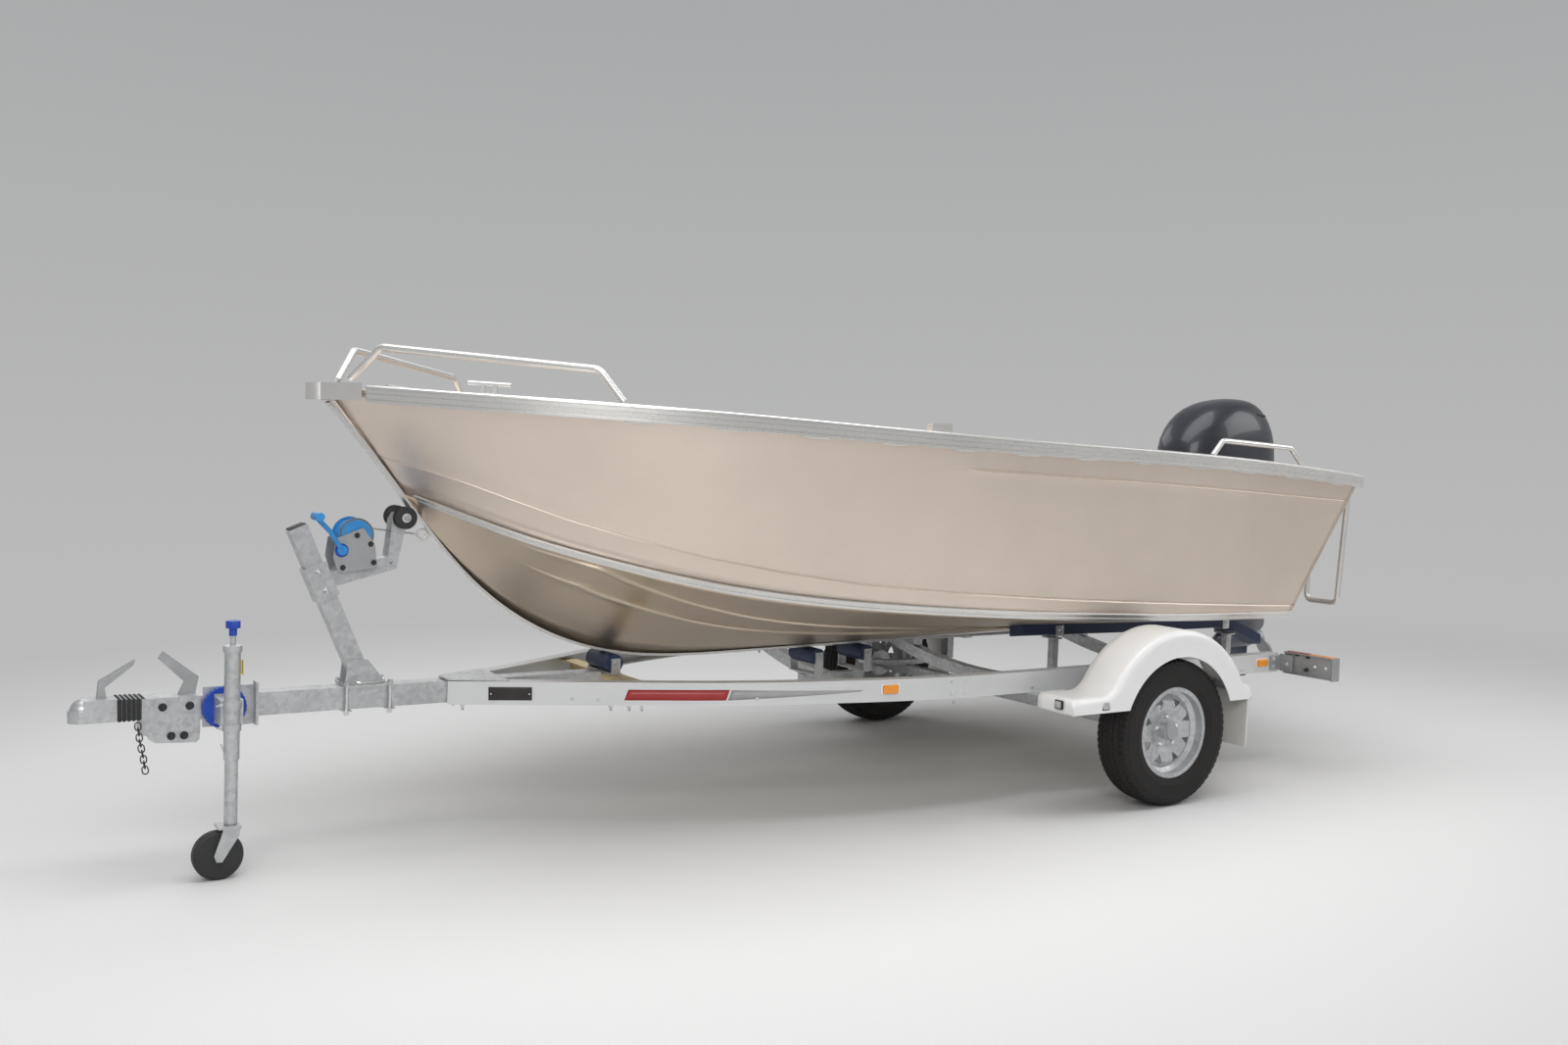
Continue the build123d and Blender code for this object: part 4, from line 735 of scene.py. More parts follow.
def hullBottom():
    bottom = bottomSettings
    count = hullLines["stations"]
    rows = []
    for i in range(count + 1):
        share = 0.985 * i / count
        keel, chine = keelAt(share), chineLine(share)[0]
        across = (chine - keel).normalized()
        along = (keelAt(min(1, share + 0.01)) - keelAt(max(0, share - 0.01))).normalized()
        up = along.cross(across).normalized()
        up = up if up.z > 0 else -up
        length = (chine - keel).length - hullLines["seam"] / 2
        x = (keel.x + chine.x) / 2 - axleX
        fade = 1 - eased(x, *bottom["ends"])
        row = [(0.0, 0.0)]
        for route in bottom["strakes"]:
            mark = heightAlong(route, x) / max(across.y, 0.2)
            mark = max(row[-1][0] + bottom["run"] + 0.012, min(mark, length - 0.025))
            start = row[-1][0]
            for k in (1, 2, 3):
                row.append((start + (mark - bottom["run"] - start) * k / 3.2, 0.0))
            row += [(mark - bottom["run"], 0.0), (mark - bottom["run"] * 0.5, bottom["rise"] * 0.45 * fade),
                    (mark - 0.004, bottom["rise"] * fade), (mark, bottom["rise"] * 0.9 * fade),
                    (mark + 0.003, bottom["rise"] * 0.2 * fade), (mark + 0.006, 0.0)]
        start = row[-1][0]
        for k in range(1, 6):
            row.append((start + (length - start) * k / 5, 0.0))
        rows.append([keel + across * min(reach, length) - up * proud for reach, proud in row])
    across = len(rows[0])
    points = [p for row in rows for p in row]
    faces = [(i * across + j, i * across + j + 1, (i + 1) * across + j + 1, (i + 1) * across + j)
             for i in range(count) for j in range(across - 1)]
    return points, faces


portBottom = hullBottom()
makePiece("hullBottomSheets", joined((portBottom[0], [tuple(reversed(f)) for f in portBottom[1]]),
                                     acrossBoat((portBottom[0], [tuple(reversed(f)) for f in portBottom[1]]))),
          "bottomSheet", stands=["hull_bottom"], solid=hullLines["bottomSheet"], angle=28)
print("hull sheets pressed")


extrusions = {
    # outward and upward from the line each one follows
    "gunwale": [(0.005, 0.0025), (-0.032, 0.0025), (-0.032, 0.0120), (-0.030, 0.0150), (-0.026, 0.0160),
                (-0.020, 0.0160), (-0.019, 0.0146), (-0.017, 0.0146), (-0.016, 0.0160), (0.004, 0.0160),
                (0.005, 0.0148), (0.007, 0.0148), (0.008, 0.0160), (0.014, 0.0160), (0.0185, 0.0150),
                (0.0212, 0.0122), (0.0220, 0.0085), (0.0220, 0.0062), (0.0200, 0.0052), (0.0200, 0.0038),
                (0.0218, 0.0028), (0.0218, -0.0085), (0.0196, -0.0095), (0.0196, -0.0112), (0.0216, -0.0122),
                (0.0214, -0.0270), (0.0192, -0.0282), (0.0192, -0.0298), (0.0220, -0.0308), (0.0220, -0.0385),
                (0.0205, -0.0400), (0.0065, -0.0400), (0.005, -0.0385)],
    "chine": [(0.0008, 0.0), (0.0060, 0.0), (0.0084, 0.0010), (0.0088, 0.0030), (0.0088, 0.0095), (0.0080, 0.0112),
              (0.0058, 0.0122), (0.0058, 0.0160), (0.0078, 0.0172), (0.0084, 0.0190), (0.0084, 0.0275),
              (0.0070, 0.0300), (0.0045, 0.0310), (0.0008, 0.0310)],
    "gunwaleEnds": 0.96,
    "chineEnds": 0.985,
}


def gunwaleExtrusion():
    sections = []
    for i in range(121):
        place, along = gunwaleLine(extrusions["gunwaleEnds"] * i / 120)
        out = Vector((-along.y, along.x, 0)).normalized()
        out = out if out.y > 0 else -out
        sections.append([place + out * across + Vector((0, 0, rise)) for across, rise in extrusions["gunwale"]])
    return rings(sections)


def chineExtrusion():
    sections = []
    for i in range(121):
        low, _, up, out = sideFrame(extrusions["chineEnds"] * i / 120)
        foot = low - up * 0.005
        sections.append([foot + out * across + up * rise for across, rise in extrusions["chine"]])
    return rings(sections)


portGunwale, portChine = gunwaleExtrusion(), chineExtrusion()
makePiece("gunwaleExtrusions", joined(portGunwale, acrossBoat(portGunwale)), "brightExtrusion", stands=["gunwales"],
          angle=24)
makePiece("chineExtrusions", joined(portChine, acrossBoat(portChine)), "brightExtrusion", stands=["chines"],
          angle=24)

weldSettings = {"length": 0.11, "height": 0.006, "gap": 0.30, "from": -1.15, "to": 2.3}


def gunwaleWelds():
    # short runs of weld that hold the gunwale's skirt to the side
    made = []
    share = 0.0
    x = weldSettings["from"]
    while x < weldSettings["to"]:
        while gunwaleLine(share)[0].x - axleX < x:
            share += 0.0005
        path = []
        ends = share
        while (gunwaleLine(ends)[0] - gunwaleLine(share)[0]).length < weldSettings["length"]:
            out = sideFrame(ends)[3]
            path.append(gunwaleLine(ends)[0] - Vector((0, 0, 0.0405)) + out * 0.0035)
            ends += 0.003
        made.append(tube(path, lambda s: 0.0048 * (1 - abs(2 * s - 1) ** 6 * 0.8), sides=8))
        x += weldSettings["gap"]
    return joined(*made)


portWelds = gunwaleWelds()
makePiece("gunwaleWelds", joined(portWelds, acrossBoat(portWelds)), "brightExtrusion")
print("gunwales and chines run")

# trailer pieces are set out level and then parked nose up about the axle
trailerPitch = 1.014
axleHeight = (tyreLow.z + tyreHigh.z) / 2
parking = (Matrix.Translation((axleX, 0, axleHeight)) @ Matrix.Rotation(math.radians(-trailerPitch), 4, "Y")
           @ Matrix.Translation((0, 0, -axleHeight)))


def parked(x, y, z):
    return parking @ Vector((x, y, z))


nodeTrees = {}


def touch(name, start, toward):
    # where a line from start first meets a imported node, and which way its surface faces there
    if name not in nodeTrees:
        data = nodes[name].data
        nodeTrees[name] = BVHTree.FromPolygons([v.co for v in data.vertices],
                                               [tuple(p.vertices) for p in data.polygons])
    place, normal, _, _ = nodeTrees[name].ray_cast(Vector(start), Vector(toward).normalized())
    if place is None:
        return None, None
    return place, normal if normal.dot(Vector(toward)) < 0 else -normal


# tyres: a carcass with ribs of tread blocks cut into it
tyreSettings = {
    "section": [(0.1776, 0.0620), (0.1790, 0.0672), (0.1900, 0.0720), (0.2030, 0.0750), (0.2050, 0.0758),
                (0.2080, 0.0752), (0.2250, 0.0772), (0.2400, 0.0778), (0.2520, 0.0772), (0.2545, 0.0778),
                (0.2570, 0.0766), (0.2640, 0.0742), (0.2700, 0.0712)],
    "treadRows": [0.0685, 0.0660, 0.0600, 0.0540, 0.0500, 0.0440, 0.0432, 0.0380, 0.0372, 0.0300, 0.0230, 0.0165,
                  0.0157, 0.0108, 0.0100, 0.0050, 0.0],
    "grooves": [(0.0372, 0.0440), (0.0100, 0.0165)],
    "grooveDepth": 0.0070,
    "blocks": 66,
    "blockDepth": 0.0050,
}


def makeTyre():
    tyre = tyreSettings
    rows = list(tyre["section"]) + [(None, y) for y in tyre["treadRows"]]
    rows += [(r, -y) for r, y in reversed(rows[:-1])]
    steps = tyre["blocks"] * 6
    outer = axleHeight
    sections = []
    for i in range(steps):
        angle = math.tau * i / steps
        section = []
        for radius, y in rows:
            if radius is None:
                wide = abs(y)
                crown = outer - 0.0100 * (wide / 0.07) ** 3.2 - 0.0008
                rib = 0 if wide < 0.0132 else 1 if wide < 0.0405 else 2
                lean = wide * (2.2, 3.0, 1.2)[rib] * (1 if y > 0 else -1)
                phase = (i + lean * 40 + rib * 2 + (3 if y < 0 else 0)) % 6
                slot = phase < 1.25
                groove = any(low <= wide <= high for low, high in tyre["grooves"])
                depth = tyre["grooveDepth"] if groove else tyre["blockDepth"] if slot and rib else 0.002 if slot else 0
                section.append((crown - depth, y))
            else:
                lug = 0.0012 if radius > 0.262 and (i // 3) % 2 else 0
                section.append((radius, y - math.copysign(lug, y)))
        sections.append([Vector((r * math.cos(angle), y, r * math.sin(angle))) for r, y in section])
    return rings(sections, closed=True)


tyreShape = makeTyre()
for side, sign in (("port", 1), ("starboard", -1)):
    low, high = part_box("tyre_" + side)
    middle = Matrix.Translation(((low.x + high.x) / 2, (low.y + high.y) / 2, (low.z + high.z) / 2))
    shape = moved(tyreShape, middle @ Matrix.Scale(sign, 4, (0, 1, 0)))
    makePiece("tyreWithTread_" + side, shape, "tyreRubber", "wheel_" + side, ["tyre_" + side], 26)

# wheel nuts, centre cap and valve
wheelSettings = {"studCircle": 0.057, "studs": 5, "nut": 0.019, "cap": 0.031}
for side, sign in (("port", 1), ("starboard", -1)):
    bits, nuts = [], []
    centre = Vector((axleX, 0, axleHeight))
    for k in range(wheelSettings["studs"]):
        turn = math.tau * (k + 0.25) / wheelSettings["studs"]
        reach = Vector((math.cos(turn), 0, math.sin(turn))) * wheelSettings["studCircle"]
        place, normal = touch("rim_" + side, centre + reach + Vector((0, sign * 1.4, 0)), (0, -sign, 0))
        nut = joined(bolt(across=wheelSettings["nut"], height=0.014, washer=0.026),
                     turned([(0.0075, 0.014), (0.0075, 0.0185), (0.006, 0.020), (0, 0.0205)], 16))
        nuts.append(moved(nut, facing(place, (0, sign, 0))))
    place, normal = touch("rim_" + side, centre + Vector((0.020, sign * 1.4, 0)), (0, -sign, 0))
    cap = wheelSettings["cap"]
    seat = Vector((centre.x, place.y - sign * 0.002, centre.z))
    bits.append(moved(turned([(cap + 0.004, 0), (cap + 0.004, 0.004), (cap, 0.006), (cap, 0.010), (cap * 0.93, 0.0135),
                              (cap * 0.7, 0.0155), (cap * 0.66, 0.0145), (cap * 0.3, 0.0150), (0, 0.0152)], 40),
                      facing(seat, (0, sign, 0))))
    stem = centre + Vector((0.128, sign * 0.9365, 0.075))
    valve = moved(turned([(0.006, 0), (0.006, 0.006), (0.0042, 0.010), (0.0042, 0.024), (0.003, 0.026),
                          (0, 0.026)], 14),
                  facing(stem, (0.1, sign, 0.06)))
    makePiece("wheelNuts_" + side, joined(*nuts), "chrome", "wheel_" + side)
    makePiece("wheelCap_" + side, joined(*bits), "winchGrey", "wheel_" + side)
    makePiece("tyreValve_" + side, valve, "blackRubber", "wheel_" + side)
print("wheels shod")

# mudguards: a moulded arch with a step in front, rounded over at its outer edge
guardSettings = {
    "inner": 0.842, "outer": 1.036, "radius": 0.402, "opening": 0.300, "shelf": 0.458, "low": 0.400,
    "front": 0.572, "rear": -0.398, "shoulder": 0.026, "wall": 0.004,
}


def makeGuard():
    guard = guardSettings
    height, shelf, low = axleHeight, guard["shelf"], guard["low"]
    path, mouth = [], []
    front, rear, radius, opening = guard["front"], guard["rear"], guard["radius"], guard["opening"]
    mouthEnd = math.sqrt(opening ** 2 - (low - height) ** 2)
    for s in range(5):  # front face
        path.append((front, low + (shelf - 0.022 - low) * s / 4))
        mouth.append((front, low))
    for s in range(1, 6):
        turn = math.radians(90 * s / 5)
        path.append((front - 0.022 * (1 - math.cos(turn)), shelf - 0.022 * (1 - math.sin(turn))))
        mouth.append((front - 0.012 * s / 5, low))
    for s in range(1, 8):
        path.append((front - 0.022 + (0.415 - front + 0.022) * s / 7, shelf))
        mouth.append((front - 0.012 + (0.335 - front + 0.012) * s / 7, low))
    startAngle = math.radians(33)
    start = (radius * math.cos(startAngle), height + radius * math.sin(startAngle))
    slope = (math.sin(startAngle), -math.cos(startAngle))
    knee = (start[0] + slope[0] * (shelf - start[1]) / slope[1], shelf)
    for s in range(1, 9):
        t = s / 8
        a, b, c = (0.415, shelf), knee, start
        path.append(tuple(a[k] * (1 - t) ** 2 + 2 * b[k] * t * (1 - t) + c[k] * t * t for k in (0, 1)))
        turn = math.radians(21.8 + (33 - 21.8) * max(0, t * 2 - 1))
        x = 0.335 + (mouthEnd - 0.335) * min(1, t * 2)
        mouth.append((x, low) if t <= 0.5 else (opening * math.cos(turn), height + opening * math.sin(turn)))
    for s in range(1, 45):
        turn = math.radians(33 + (152 - 33) * s / 44)
        path.append((radius * math.cos(turn), height + radius * math.sin(turn)))
        mouth.append((opening * math.cos(turn), height + opening * math.sin(turn)))
    last = path[-1]
    for s in range(1, 6):
        t = s / 5
        a, b, c = last, (last[0] - 0.012, shelf), (rear + 0.010, shelf)
        path.append(tuple(a[k] * (1 - t) ** 2 + 2 * b[k] * t * (1 - t) + c[k] * t * t for k in (0, 1)))
        turn = math.radians(152 + (158.2 - 152) * t)
        mouth.append((opening * math.cos(turn), height + opening * math.sin(turn)))
    for s in range(1, 5):
        turn = math.radians(90 * s / 4)
        path.append((rear + 0.010 * (1 - math.sin(turn)), shelf - 0.010 * (1 - math.cos(turn))))
        mouth.append((-mouthEnd + (rear + 0.006 + mouthEnd) * s / 4, low))
    for s in range(1, 4):
        path.append((rear, shelf - 0.010 + (low - shelf + 0.010) * s / 3))
        mouth.append((rear, low))
    rows = []
    for i, (x, z) in enumerate(path):
        before, after = path[max(0, i - 1)], path[min(len(path) - 1, i + 1)]
        ahead = Vector((after[0] - before[0], 0, after[1] - before[1])).normalized()
        inward = Vector((-ahead.z, 0, ahead.x))
        here, edge = Vector((x, 0, z)), Vector((mouth[i][0], 0, mouth[i][1]))
        gap = (edge - here).length
        rounding = min(guard["shoulder"], max(0.004, gap * 0.45))
        row = [here + inward * 0.012 + Vector((0, guard["inner"], 0)),
               here + inward * 0.003 + Vector((0, guard["inner"], 0)),
               here + Vector((0, guard["inner"] + 0.003, 0))]
        row += [here + Vector((0, guard["inner"] + (guard["outer"] - rounding - guard["inner"]) * k / 5, 0))
                for k in range(1, 6)]
        toEdge = (edge - here).normalized() if gap > 1e-4 else inward
        for k in range(1, 6):
            turn = math.radians(90 * k / 5)
            row.append(here + toEdge * (rounding * (1 - math.cos(turn)))
                       + Vector((0, guard["outer"] - rounding * (1 - math.sin(turn)), 0)))
        shoulder = here + toEdge * rounding
        for k in range(1, 5):
            bulge = 0.0 if k == 4 else -0.0008 * k
            rim = guard["outer"] + bulge - (0.002 if k == 4 else 0)
            row.append(shoulder.lerp(edge, k / 4) + Vector((0, rim, 0)))
        row.append(edge + Vector((0, guard["outer"] - 0.010, 0)))
        rows.append([parking @ Vector(p) for p in row])
    across = len(rows[0])
    points = [p for row in rows for p in row]
    faces = [(i * across + j, i * across + j + 1, (i + 1) * across + j + 1, (i + 1) * across + j)
             for i in range(len(rows) - 1) for j in range(across - 1)]
    return points, faces


portGuard = makeGuard()
makePiece("mouldedGuards", joined(portGuard, acrossBoat(portGuard)), "whiteMoulding", stands=["mudguards"],
          solid=guardSettings["wall"], even=False, angle=50)

# marker lamps on the front corner of each guard
cornerLamps = {"size": (0.010, 0.040, 0.034), "lens": (0.006, 0.030, 0.026), "height": 0.432}


def guardLamps(bodyFinish):
    block, lens = cornerLamps["size"], cornerLamps["lens"]
    made = []
    for at, turn in (((0.577, 0.965, cornerLamps["height"]), 0), ((0.405, 1.030, cornerLamps["height"] - 0.006), 90)):
        spin = Matrix.Rotation(math.radians(turn), 4, "Z")
        where = parking @ Matrix.Translation(at) @ spin
        if bodyFinish:
            made.append(moved(roundedBlock(block, 0.003), where))
        else:
            made.append(moved(roundedBlock(lens, 0.0025), where @ Matrix.Translation((0.0045, -0.001, 0))))
    return joined(*made)


portCases, portLenses = guardLamps(True), guardLamps(False)


makePiece("guardLampCases", joined(portCases, acrossBoat(portCases)), "castBlack")
makePiece("guardLampLenses", joined(portLenses, acrossBoat(portLenses)), "clearLens")
print("guards moulded")


def bar(path, width, thickness, steps=1, round=0.25):
    # flat bar bent in the side plane: width lies in the plane, thickness across the boat
    path = [Vector(p) for p in (curveThrough(path, steps) if steps > 1 else path)]
    sections = []
    for i, point in enumerate(path):
        ahead = (path[min(i + 1, len(path) - 1)] - path[max(i - 1, 0)]).normalized()
        edge = Vector((-ahead.z, 0, ahead.x))
        wide = (width(i / (len(path) - 1)) if callable(width) else width) / 2
        deep = thickness / 2
        cut = min(wide, deep) * round
        corners = [(wide, deep - cut), (wide - cut, deep), (cut - wide, deep), (-wide, deep - cut),
                   (-wide, cut - deep), (cut - wide, -deep), (wide - cut, -deep), (wide, cut - deep)]
        sections.append([point + edge * a + Vector((0, b, 0)) for a, b in corners])
    return rings(sections)


def blockAt(low, high, edge=0.002, frameOf=parking):
    low, high = Vector(low), Vector(high)
    size = Vector([abs(v) for v in (high - low)])
    return moved(roundedBlock(size, min(edge, min(size) * 0.45)), frameOf @ Matrix.Translation((low + high) / 2))


def linkShape(length, width, wire):
    # one welded chain link, long in z
    path = []
    for end, start in ((1, 0), (-1, 180)):
        for s in range(7):
            turn = math.radians(start + 180 * s / 6)
            path.append((width / 2 * math.cos(turn), 0, end * (length - width) / 2 + width / 2 * math.sin(turn)))
    return tube(path, wire / 2, 8, closed=True)


def chainAlong(path, length, width, wire):
    link = linkShape(length + wire, width + wire, wire)
    pitch = length - wire
    path = [Vector(p) for p in path]
    made, carried, flip = [], pitch / 2, False
    for a, b in zip(path, path[1:]):
        span = (b - a).length
        at = carried
        while at < span:
            spot = a.lerp(b, at / span)
            made.append(moved(link, facing(spot, b - a, (0, 1, 0) if flip else (1, 0, 0))))
            flip = not flip
            at += pitch
        carried = at - span
    return joined(*made)


# tail lamps: a pressed bracket on an arm from the rail, open at its front, lens to the rear
tailSettings = {"x": -0.967, "inner": 0.738, "outer": 0.990, "low": 0.425, "high": 0.527}


def tailLamp():
    tail = tailSettings
    x, inner, outer, low, high = (tail[k] for k in ("x", "inner", "outer", "low", "high"))
    steel = [blockAt((x - 0.014, inner, low + 0.004), (x - 0.004, outer - 0.002, high - 0.004), 0.003),
             blockAt((x - 0.006, inner, high - 0.008), (x + 0.003, outer - 0.002, high - 0.004), 0.0015),
             blockAt((x - 0.006, inner, low + 0.004), (x + 0.003, outer - 0.002, low + 0.008), 0.0015),
             blockAt((x - 0.006, outer - 0.006, low + 0.004), (x + 0.003, outer - 0.002, high - 0.004), 0.0015),
             blockAt((x - 0.006, inner + 0.085, low + 0.006), (x + 0.002, inner + 0.090, high - 0.006), 0.0015),
             blockAt((x - 0.039, 0.7208, 0.441), (-0.896, 0.7268, 0.506), 0.003),
             blockAt((x, 0.7208, 0.436), (x + 0.005, inner + 0.050, 0.511), 0.002)]
    steel.append(blockAt((x - 0.047, outer - 0.003, low + 0.001), (x + 0.003, outer, high - 0.001), 0.002))
    bolts = boltsAt([(parked(x + 0.005, inner + 0.020, 0.470), (1, 0, 0)),
                     (parked(x - 0.003, inner + 0.160, 0.475), (1, 0, 0)),
                     (parked(x - 0.003, inner + 0.215, 0.475), (1, 0, 0)),
                     (parked(-0.915, 0.7268, 0.458), (0, 1, 0)),
                     (parked(-0.915, 0.7268, 0.490), (0, 1, 0))], across=0.010, height=0.005, washer=0.017)
    dark = [blockAt((x - 0.006, inner + 0.012, low + 0.030), (x - 0.002, inner + 0.040, high - 0.014), 0.001),
            blockAt((x - 0.006, inner + 0.058, high - 0.016), (x - 0.002, inner + 0.083, high - 0.009), 0.001),
            blockAt((x - 0.006, inner + 0.112, high - 0.020), (x - 0.002, inner + 0.134, high - 0.010), 0.001),
            moved(turned([(0.009, 0), (0.009, 0.008), (0.006, 0.010), (0.006, 0.018), (0, 0.018)], 16),
                  facing(parked(x - 0.004, inner + 0.122, low + 0.034), (1, 0, 0)))]
    cells = []
    for first, last in ((inner + 0.001, inner + 0.118), (inner + 0.119, outer - 0.004)):
        cells.append(blockAt((x - 0.047, first, low + 0.001), (x - 0.014, last, high - 0.001), 0.005))
    for k in range(6):
        z = low + 0.012 + k * 0.0138
        cells.append(blockAt((x - 0.0478, inner + 0.008, z), (x - 0.046, outer - 0.010, z + 0.006), 0.0008))
    return joined(*steel), bolts, joined(*dark), joined(cells[0], *cells[2:]), cells[1]


lampSteel, lampBolts, lampDark, lampRed, lampAmber = tailLamp()
makePiece("tailLampBrackets", joined(lampSteel, acrossBoat(lampSteel)), "lampBracket", stands=["tail_lights"])
makePiece("tailLampBolts", joined(lampBolts, acrossBoat(lampBolts)), "chrome")
makePiece("tailLampGlands", joined(lampDark, acrossBoat(lampDark)), "castBlack")
makePiece("tailLampLenses", joined(lampRed, acrossBoat(lampRed)), "lampRed")
makePiece("tailLampIndicators", joined(lampAmber, acrossBoat(lampAmber)), "lampAmber")
print("tail lamps built")


# rails: marker lamps, blank plate, stripes, bolts
railSettings = {
    "markers": [(1.139, 0.479), (-0.842, 0.477)],
    "plate": {"x": 2.388, "z": 0.457, "length": 0.150, "height": 0.046},
    "redStripe": {"from": 2.040, "to": 1.722, "low": 0.441, "lowEnd": 0.446, "height": 0.038},
    "greyStripe": {"from": 1.716, "to": 1.254, "low": 0.446, "lowEnd": 0.473, "height": 0.037},
    "sideBolts": [2.20, 2.12, 1.62, 0.88, 0.82, 0.49, 0.16, 0.10, -0.25, -0.36, -0.72, -0.91],
    "underBolts": [2.525, 2.072, 2.015, 1.976, 0.850, 0.130],
}


def onRail(x, z):
    place, normal = touch("side_rail_port", parked(x, 1.5, z), (0, -1, 0))
    return place, normal


def railStripe(stripe, taper):
    upper, lower = [], []
    for i in range(25):
        s = i / 24
        x = stripe["from"] + (stripe["to"] - stripe["from"]) * s
        z = stripe["low"] + (stripe["lowEnd"] - stripe["low"]) * s
        tall = stripe["height"] * (1 - taper * s)
        for rowOf, height in ((lower, z), (upper, z + tall)):
            shift = 0.012 if rowOf is upper else 0.0
            place, normal = onRail(x - shift, height)
            rowOf.append(place + normal * 0.0004)
    count = len(lower)
    return lower + upper, [(i, i + 1, count + i + 1, count + i) for i in range(count - 1)]


markers, markerCases = [], []
for x, z in railSettings["markers"]:
    place, normal = onRail(x, z)
    where = facing(place, normal)
    markers.append(moved(roundedBlock((0.033, 0.062, 0.014), 0.005, 3), where @ Matrix.Translation((0, 0, 0.0075))))
    markerCases.append(moved(roundedBlock((0.038, 0.074, 0.004), 0.0015), where @ Matrix.Translation((0, 0, 0.002))))
makePiece("railMarkers", joined(*markers, *[acrossBoat(m) for m in markers]), "lampAmber")
makePiece("railMarkerBases", joined(*markerCases, *[acrossBoat(m) for m in markerCases]), "whiteMoulding")
plateSpot = railSettings["plate"]
place, normal = onRail(plateSpot["x"], plateSpot["z"])
blank = moved(roundedBlock((plateSpot["height"], plateSpot["length"], 0.0014), 0.0006), facing(place, normal)
              @ Matrix.Translation((0, 0, 0.0022)))
pins = boltsAt([(facing(place, normal) @ Vector((0, s * 0.066, 0.0026)), normal) for s in (1, -1)],
               across=0.004, height=0.001, washer=0.006)
makePiece("blankPlate", joined(blank), "plateBlack")
makePiece("blankPlateRivets", pins, "chrome")
for name, taper, finish in (("redStripe", 0.0, "stripeRed"), ("greyStripe", 0.85, "stripeGrey")):
    stripe = railStripe(railSettings[name], taper)
    makePiece("rail" + name[0].upper() + name[1:] + "s", joined(stripe, acrossBoat(stripe)), finish, solid=0.0003)
spots = []
for x in railSettings["sideBolts"]:
    ground = 0.442 if x > 1.9 else 0.452
    place, normal = onRail(x, ground)
    if place is not None:
        spots.append((place, normal))
    if x in (0.88, 0.82, 0.16, 0.10, -0.91):
        place, normal = onRail(x, ground + 0.045)
        spots.append((place, normal))
small = boltsAt(spots, across=0.008, height=0.004, washer=0.013)
spots = []
for x in railSettings["underBolts"]:
    side, normal = onRail(x, 0.45)
    under, _ = touch("side_rail_port", (side.x, side.y - 0.024, 0), (0, 0, 1))
    if under is not None:
        spots.append((under, (0, 0, -1)))
large = boltsAt(spots, across=0.015, height=0.010, washer=0.024, thread=0.012)
makePiece("railBolts", joined(small, large, acrossBoat(small), acrossBoat(large)), "chrome")
print("rails dressed")


# skids: galvanised straps and bolts under them
skidSettings = {"y": 0.450, "straps": [0.130, -0.880], "strap": 0.042}
strapShapes, strapSpots = [], []
for x in skidSettings["straps"]:
    place, normal = touch("skids", fromAxle(x, 0.9, 0.622), (0, -1, 0))
    low, _ = touch("skids", fromAxle(x, skidSettings["y"] + 0.02, 0.3), (0, 0, 1))
    if place is not None and low is not None:
        half = skidSettings["strap"] / 2
        for inside, outside, top in ((0.0, 0.003, 0.040), (0.060, 0.002, -0.001)):
            strapShapes.append(blockAt((low.x - half, place.y - inside, low.z - 0.004),
                                       (low.x + half, place.y + outside, low.z + top), 0.001, Matrix.Identity(4)))
        strapSpots.append(((low.x, place.y + 0.003, low.z + 0.020), (0, 1, 0)))
straps = joined(*strapShapes)
strapBolts = boltsAt(strapSpots, across=0.010, height=0.005, washer=0.018)
makePiece("skidStraps", joined(straps, acrossBoat(straps)), "galvanised")
makePiece("skidStrapBolts", joined(strapBolts, acrossBoat(strapBolts)), "chrome")
print("skids strapped")




# winch post: cap, collar bolts, four rods that clamp it round the drawbar, bent rod behind its foot
postSettings = {
    "foot": (2.860, 0.497),  # length ahead of the axle and height, on the level trailer
    "head": (3.089, 1.031),
    "collar": 0.66,  # share of the way up
    "rodPlaces": (2.782, 2.928),
    "knee": (2.768, 0.958),  # these three as the trailer stands
    "bowRoller": (2.728, 1.112),
    "drum": (2.889, 1.056),
}
postFoot = Vector(parked(postSettings["foot"][0], 0, postSettings["foot"][1]))
postHead = Vector(parked(postSettings["head"][0], 0, postSettings["head"][1]))
postLine = (postHead - postFoot).normalized()
collarSpot = postFoot.lerp(postHead, postSettings["collar"])
endCap = moved(roundedBlock((0.057, 0.057, 0.012), 0.004, 3), facing(postHead - postLine * 0.002, postLine, (0, 1, 0)))
makePiece("postCap", endCap, "castBlack")
collarBolts = []
for along in (-0.034, 0.034):
    for side in (1, -1):
        spot = collarSpot + postLine * along + Vector((0, side * 0.0372, 0))
        collarBolts.append((spot, (0, side, 0)))
collarHardware = boltsAt(collarBolts, across=0.017, height=0.010, washer=0.026, thread=0.014)
rods = []
for x in postSettings["rodPlaces"]:
    for y in (-0.050, 0.050):
        rods.append(tube([parked(x, y, 0.516), parked(x, y, 0.412)], 0.0055, 10))
        rods.append(moved(bolt(0.017, 0.010, 0.026, 0.0), facing(parked(x, y, 0.505), (0, 0, 1))))
        rods.append(moved(bolt(0.017, 0.010, 0.022, 0.0), facing(parked(x, y, 0.4165), (0, 0, -1))))
under = [blockAt((x - 0.016, -0.062, 0.4165), (x + 0.016, 0.062, 0.4210), 0.0015)
         for x in postSettings["rodPlaces"]]
bentRod = tube(curveThrough([parked(2.905, 0.064, 0.520), parked(2.895, 0.074, 0.516), parked(2.850, 0.076, 0.517),
                             parked(2.815, 0.074, 0.519), parked(2.808, 0.058, 0.522)], 5), 0.004, 8)
makePiece("postRods", joined(collarHardware, *rods, *under, bentRod), "chrome")
print("winch post dressed")


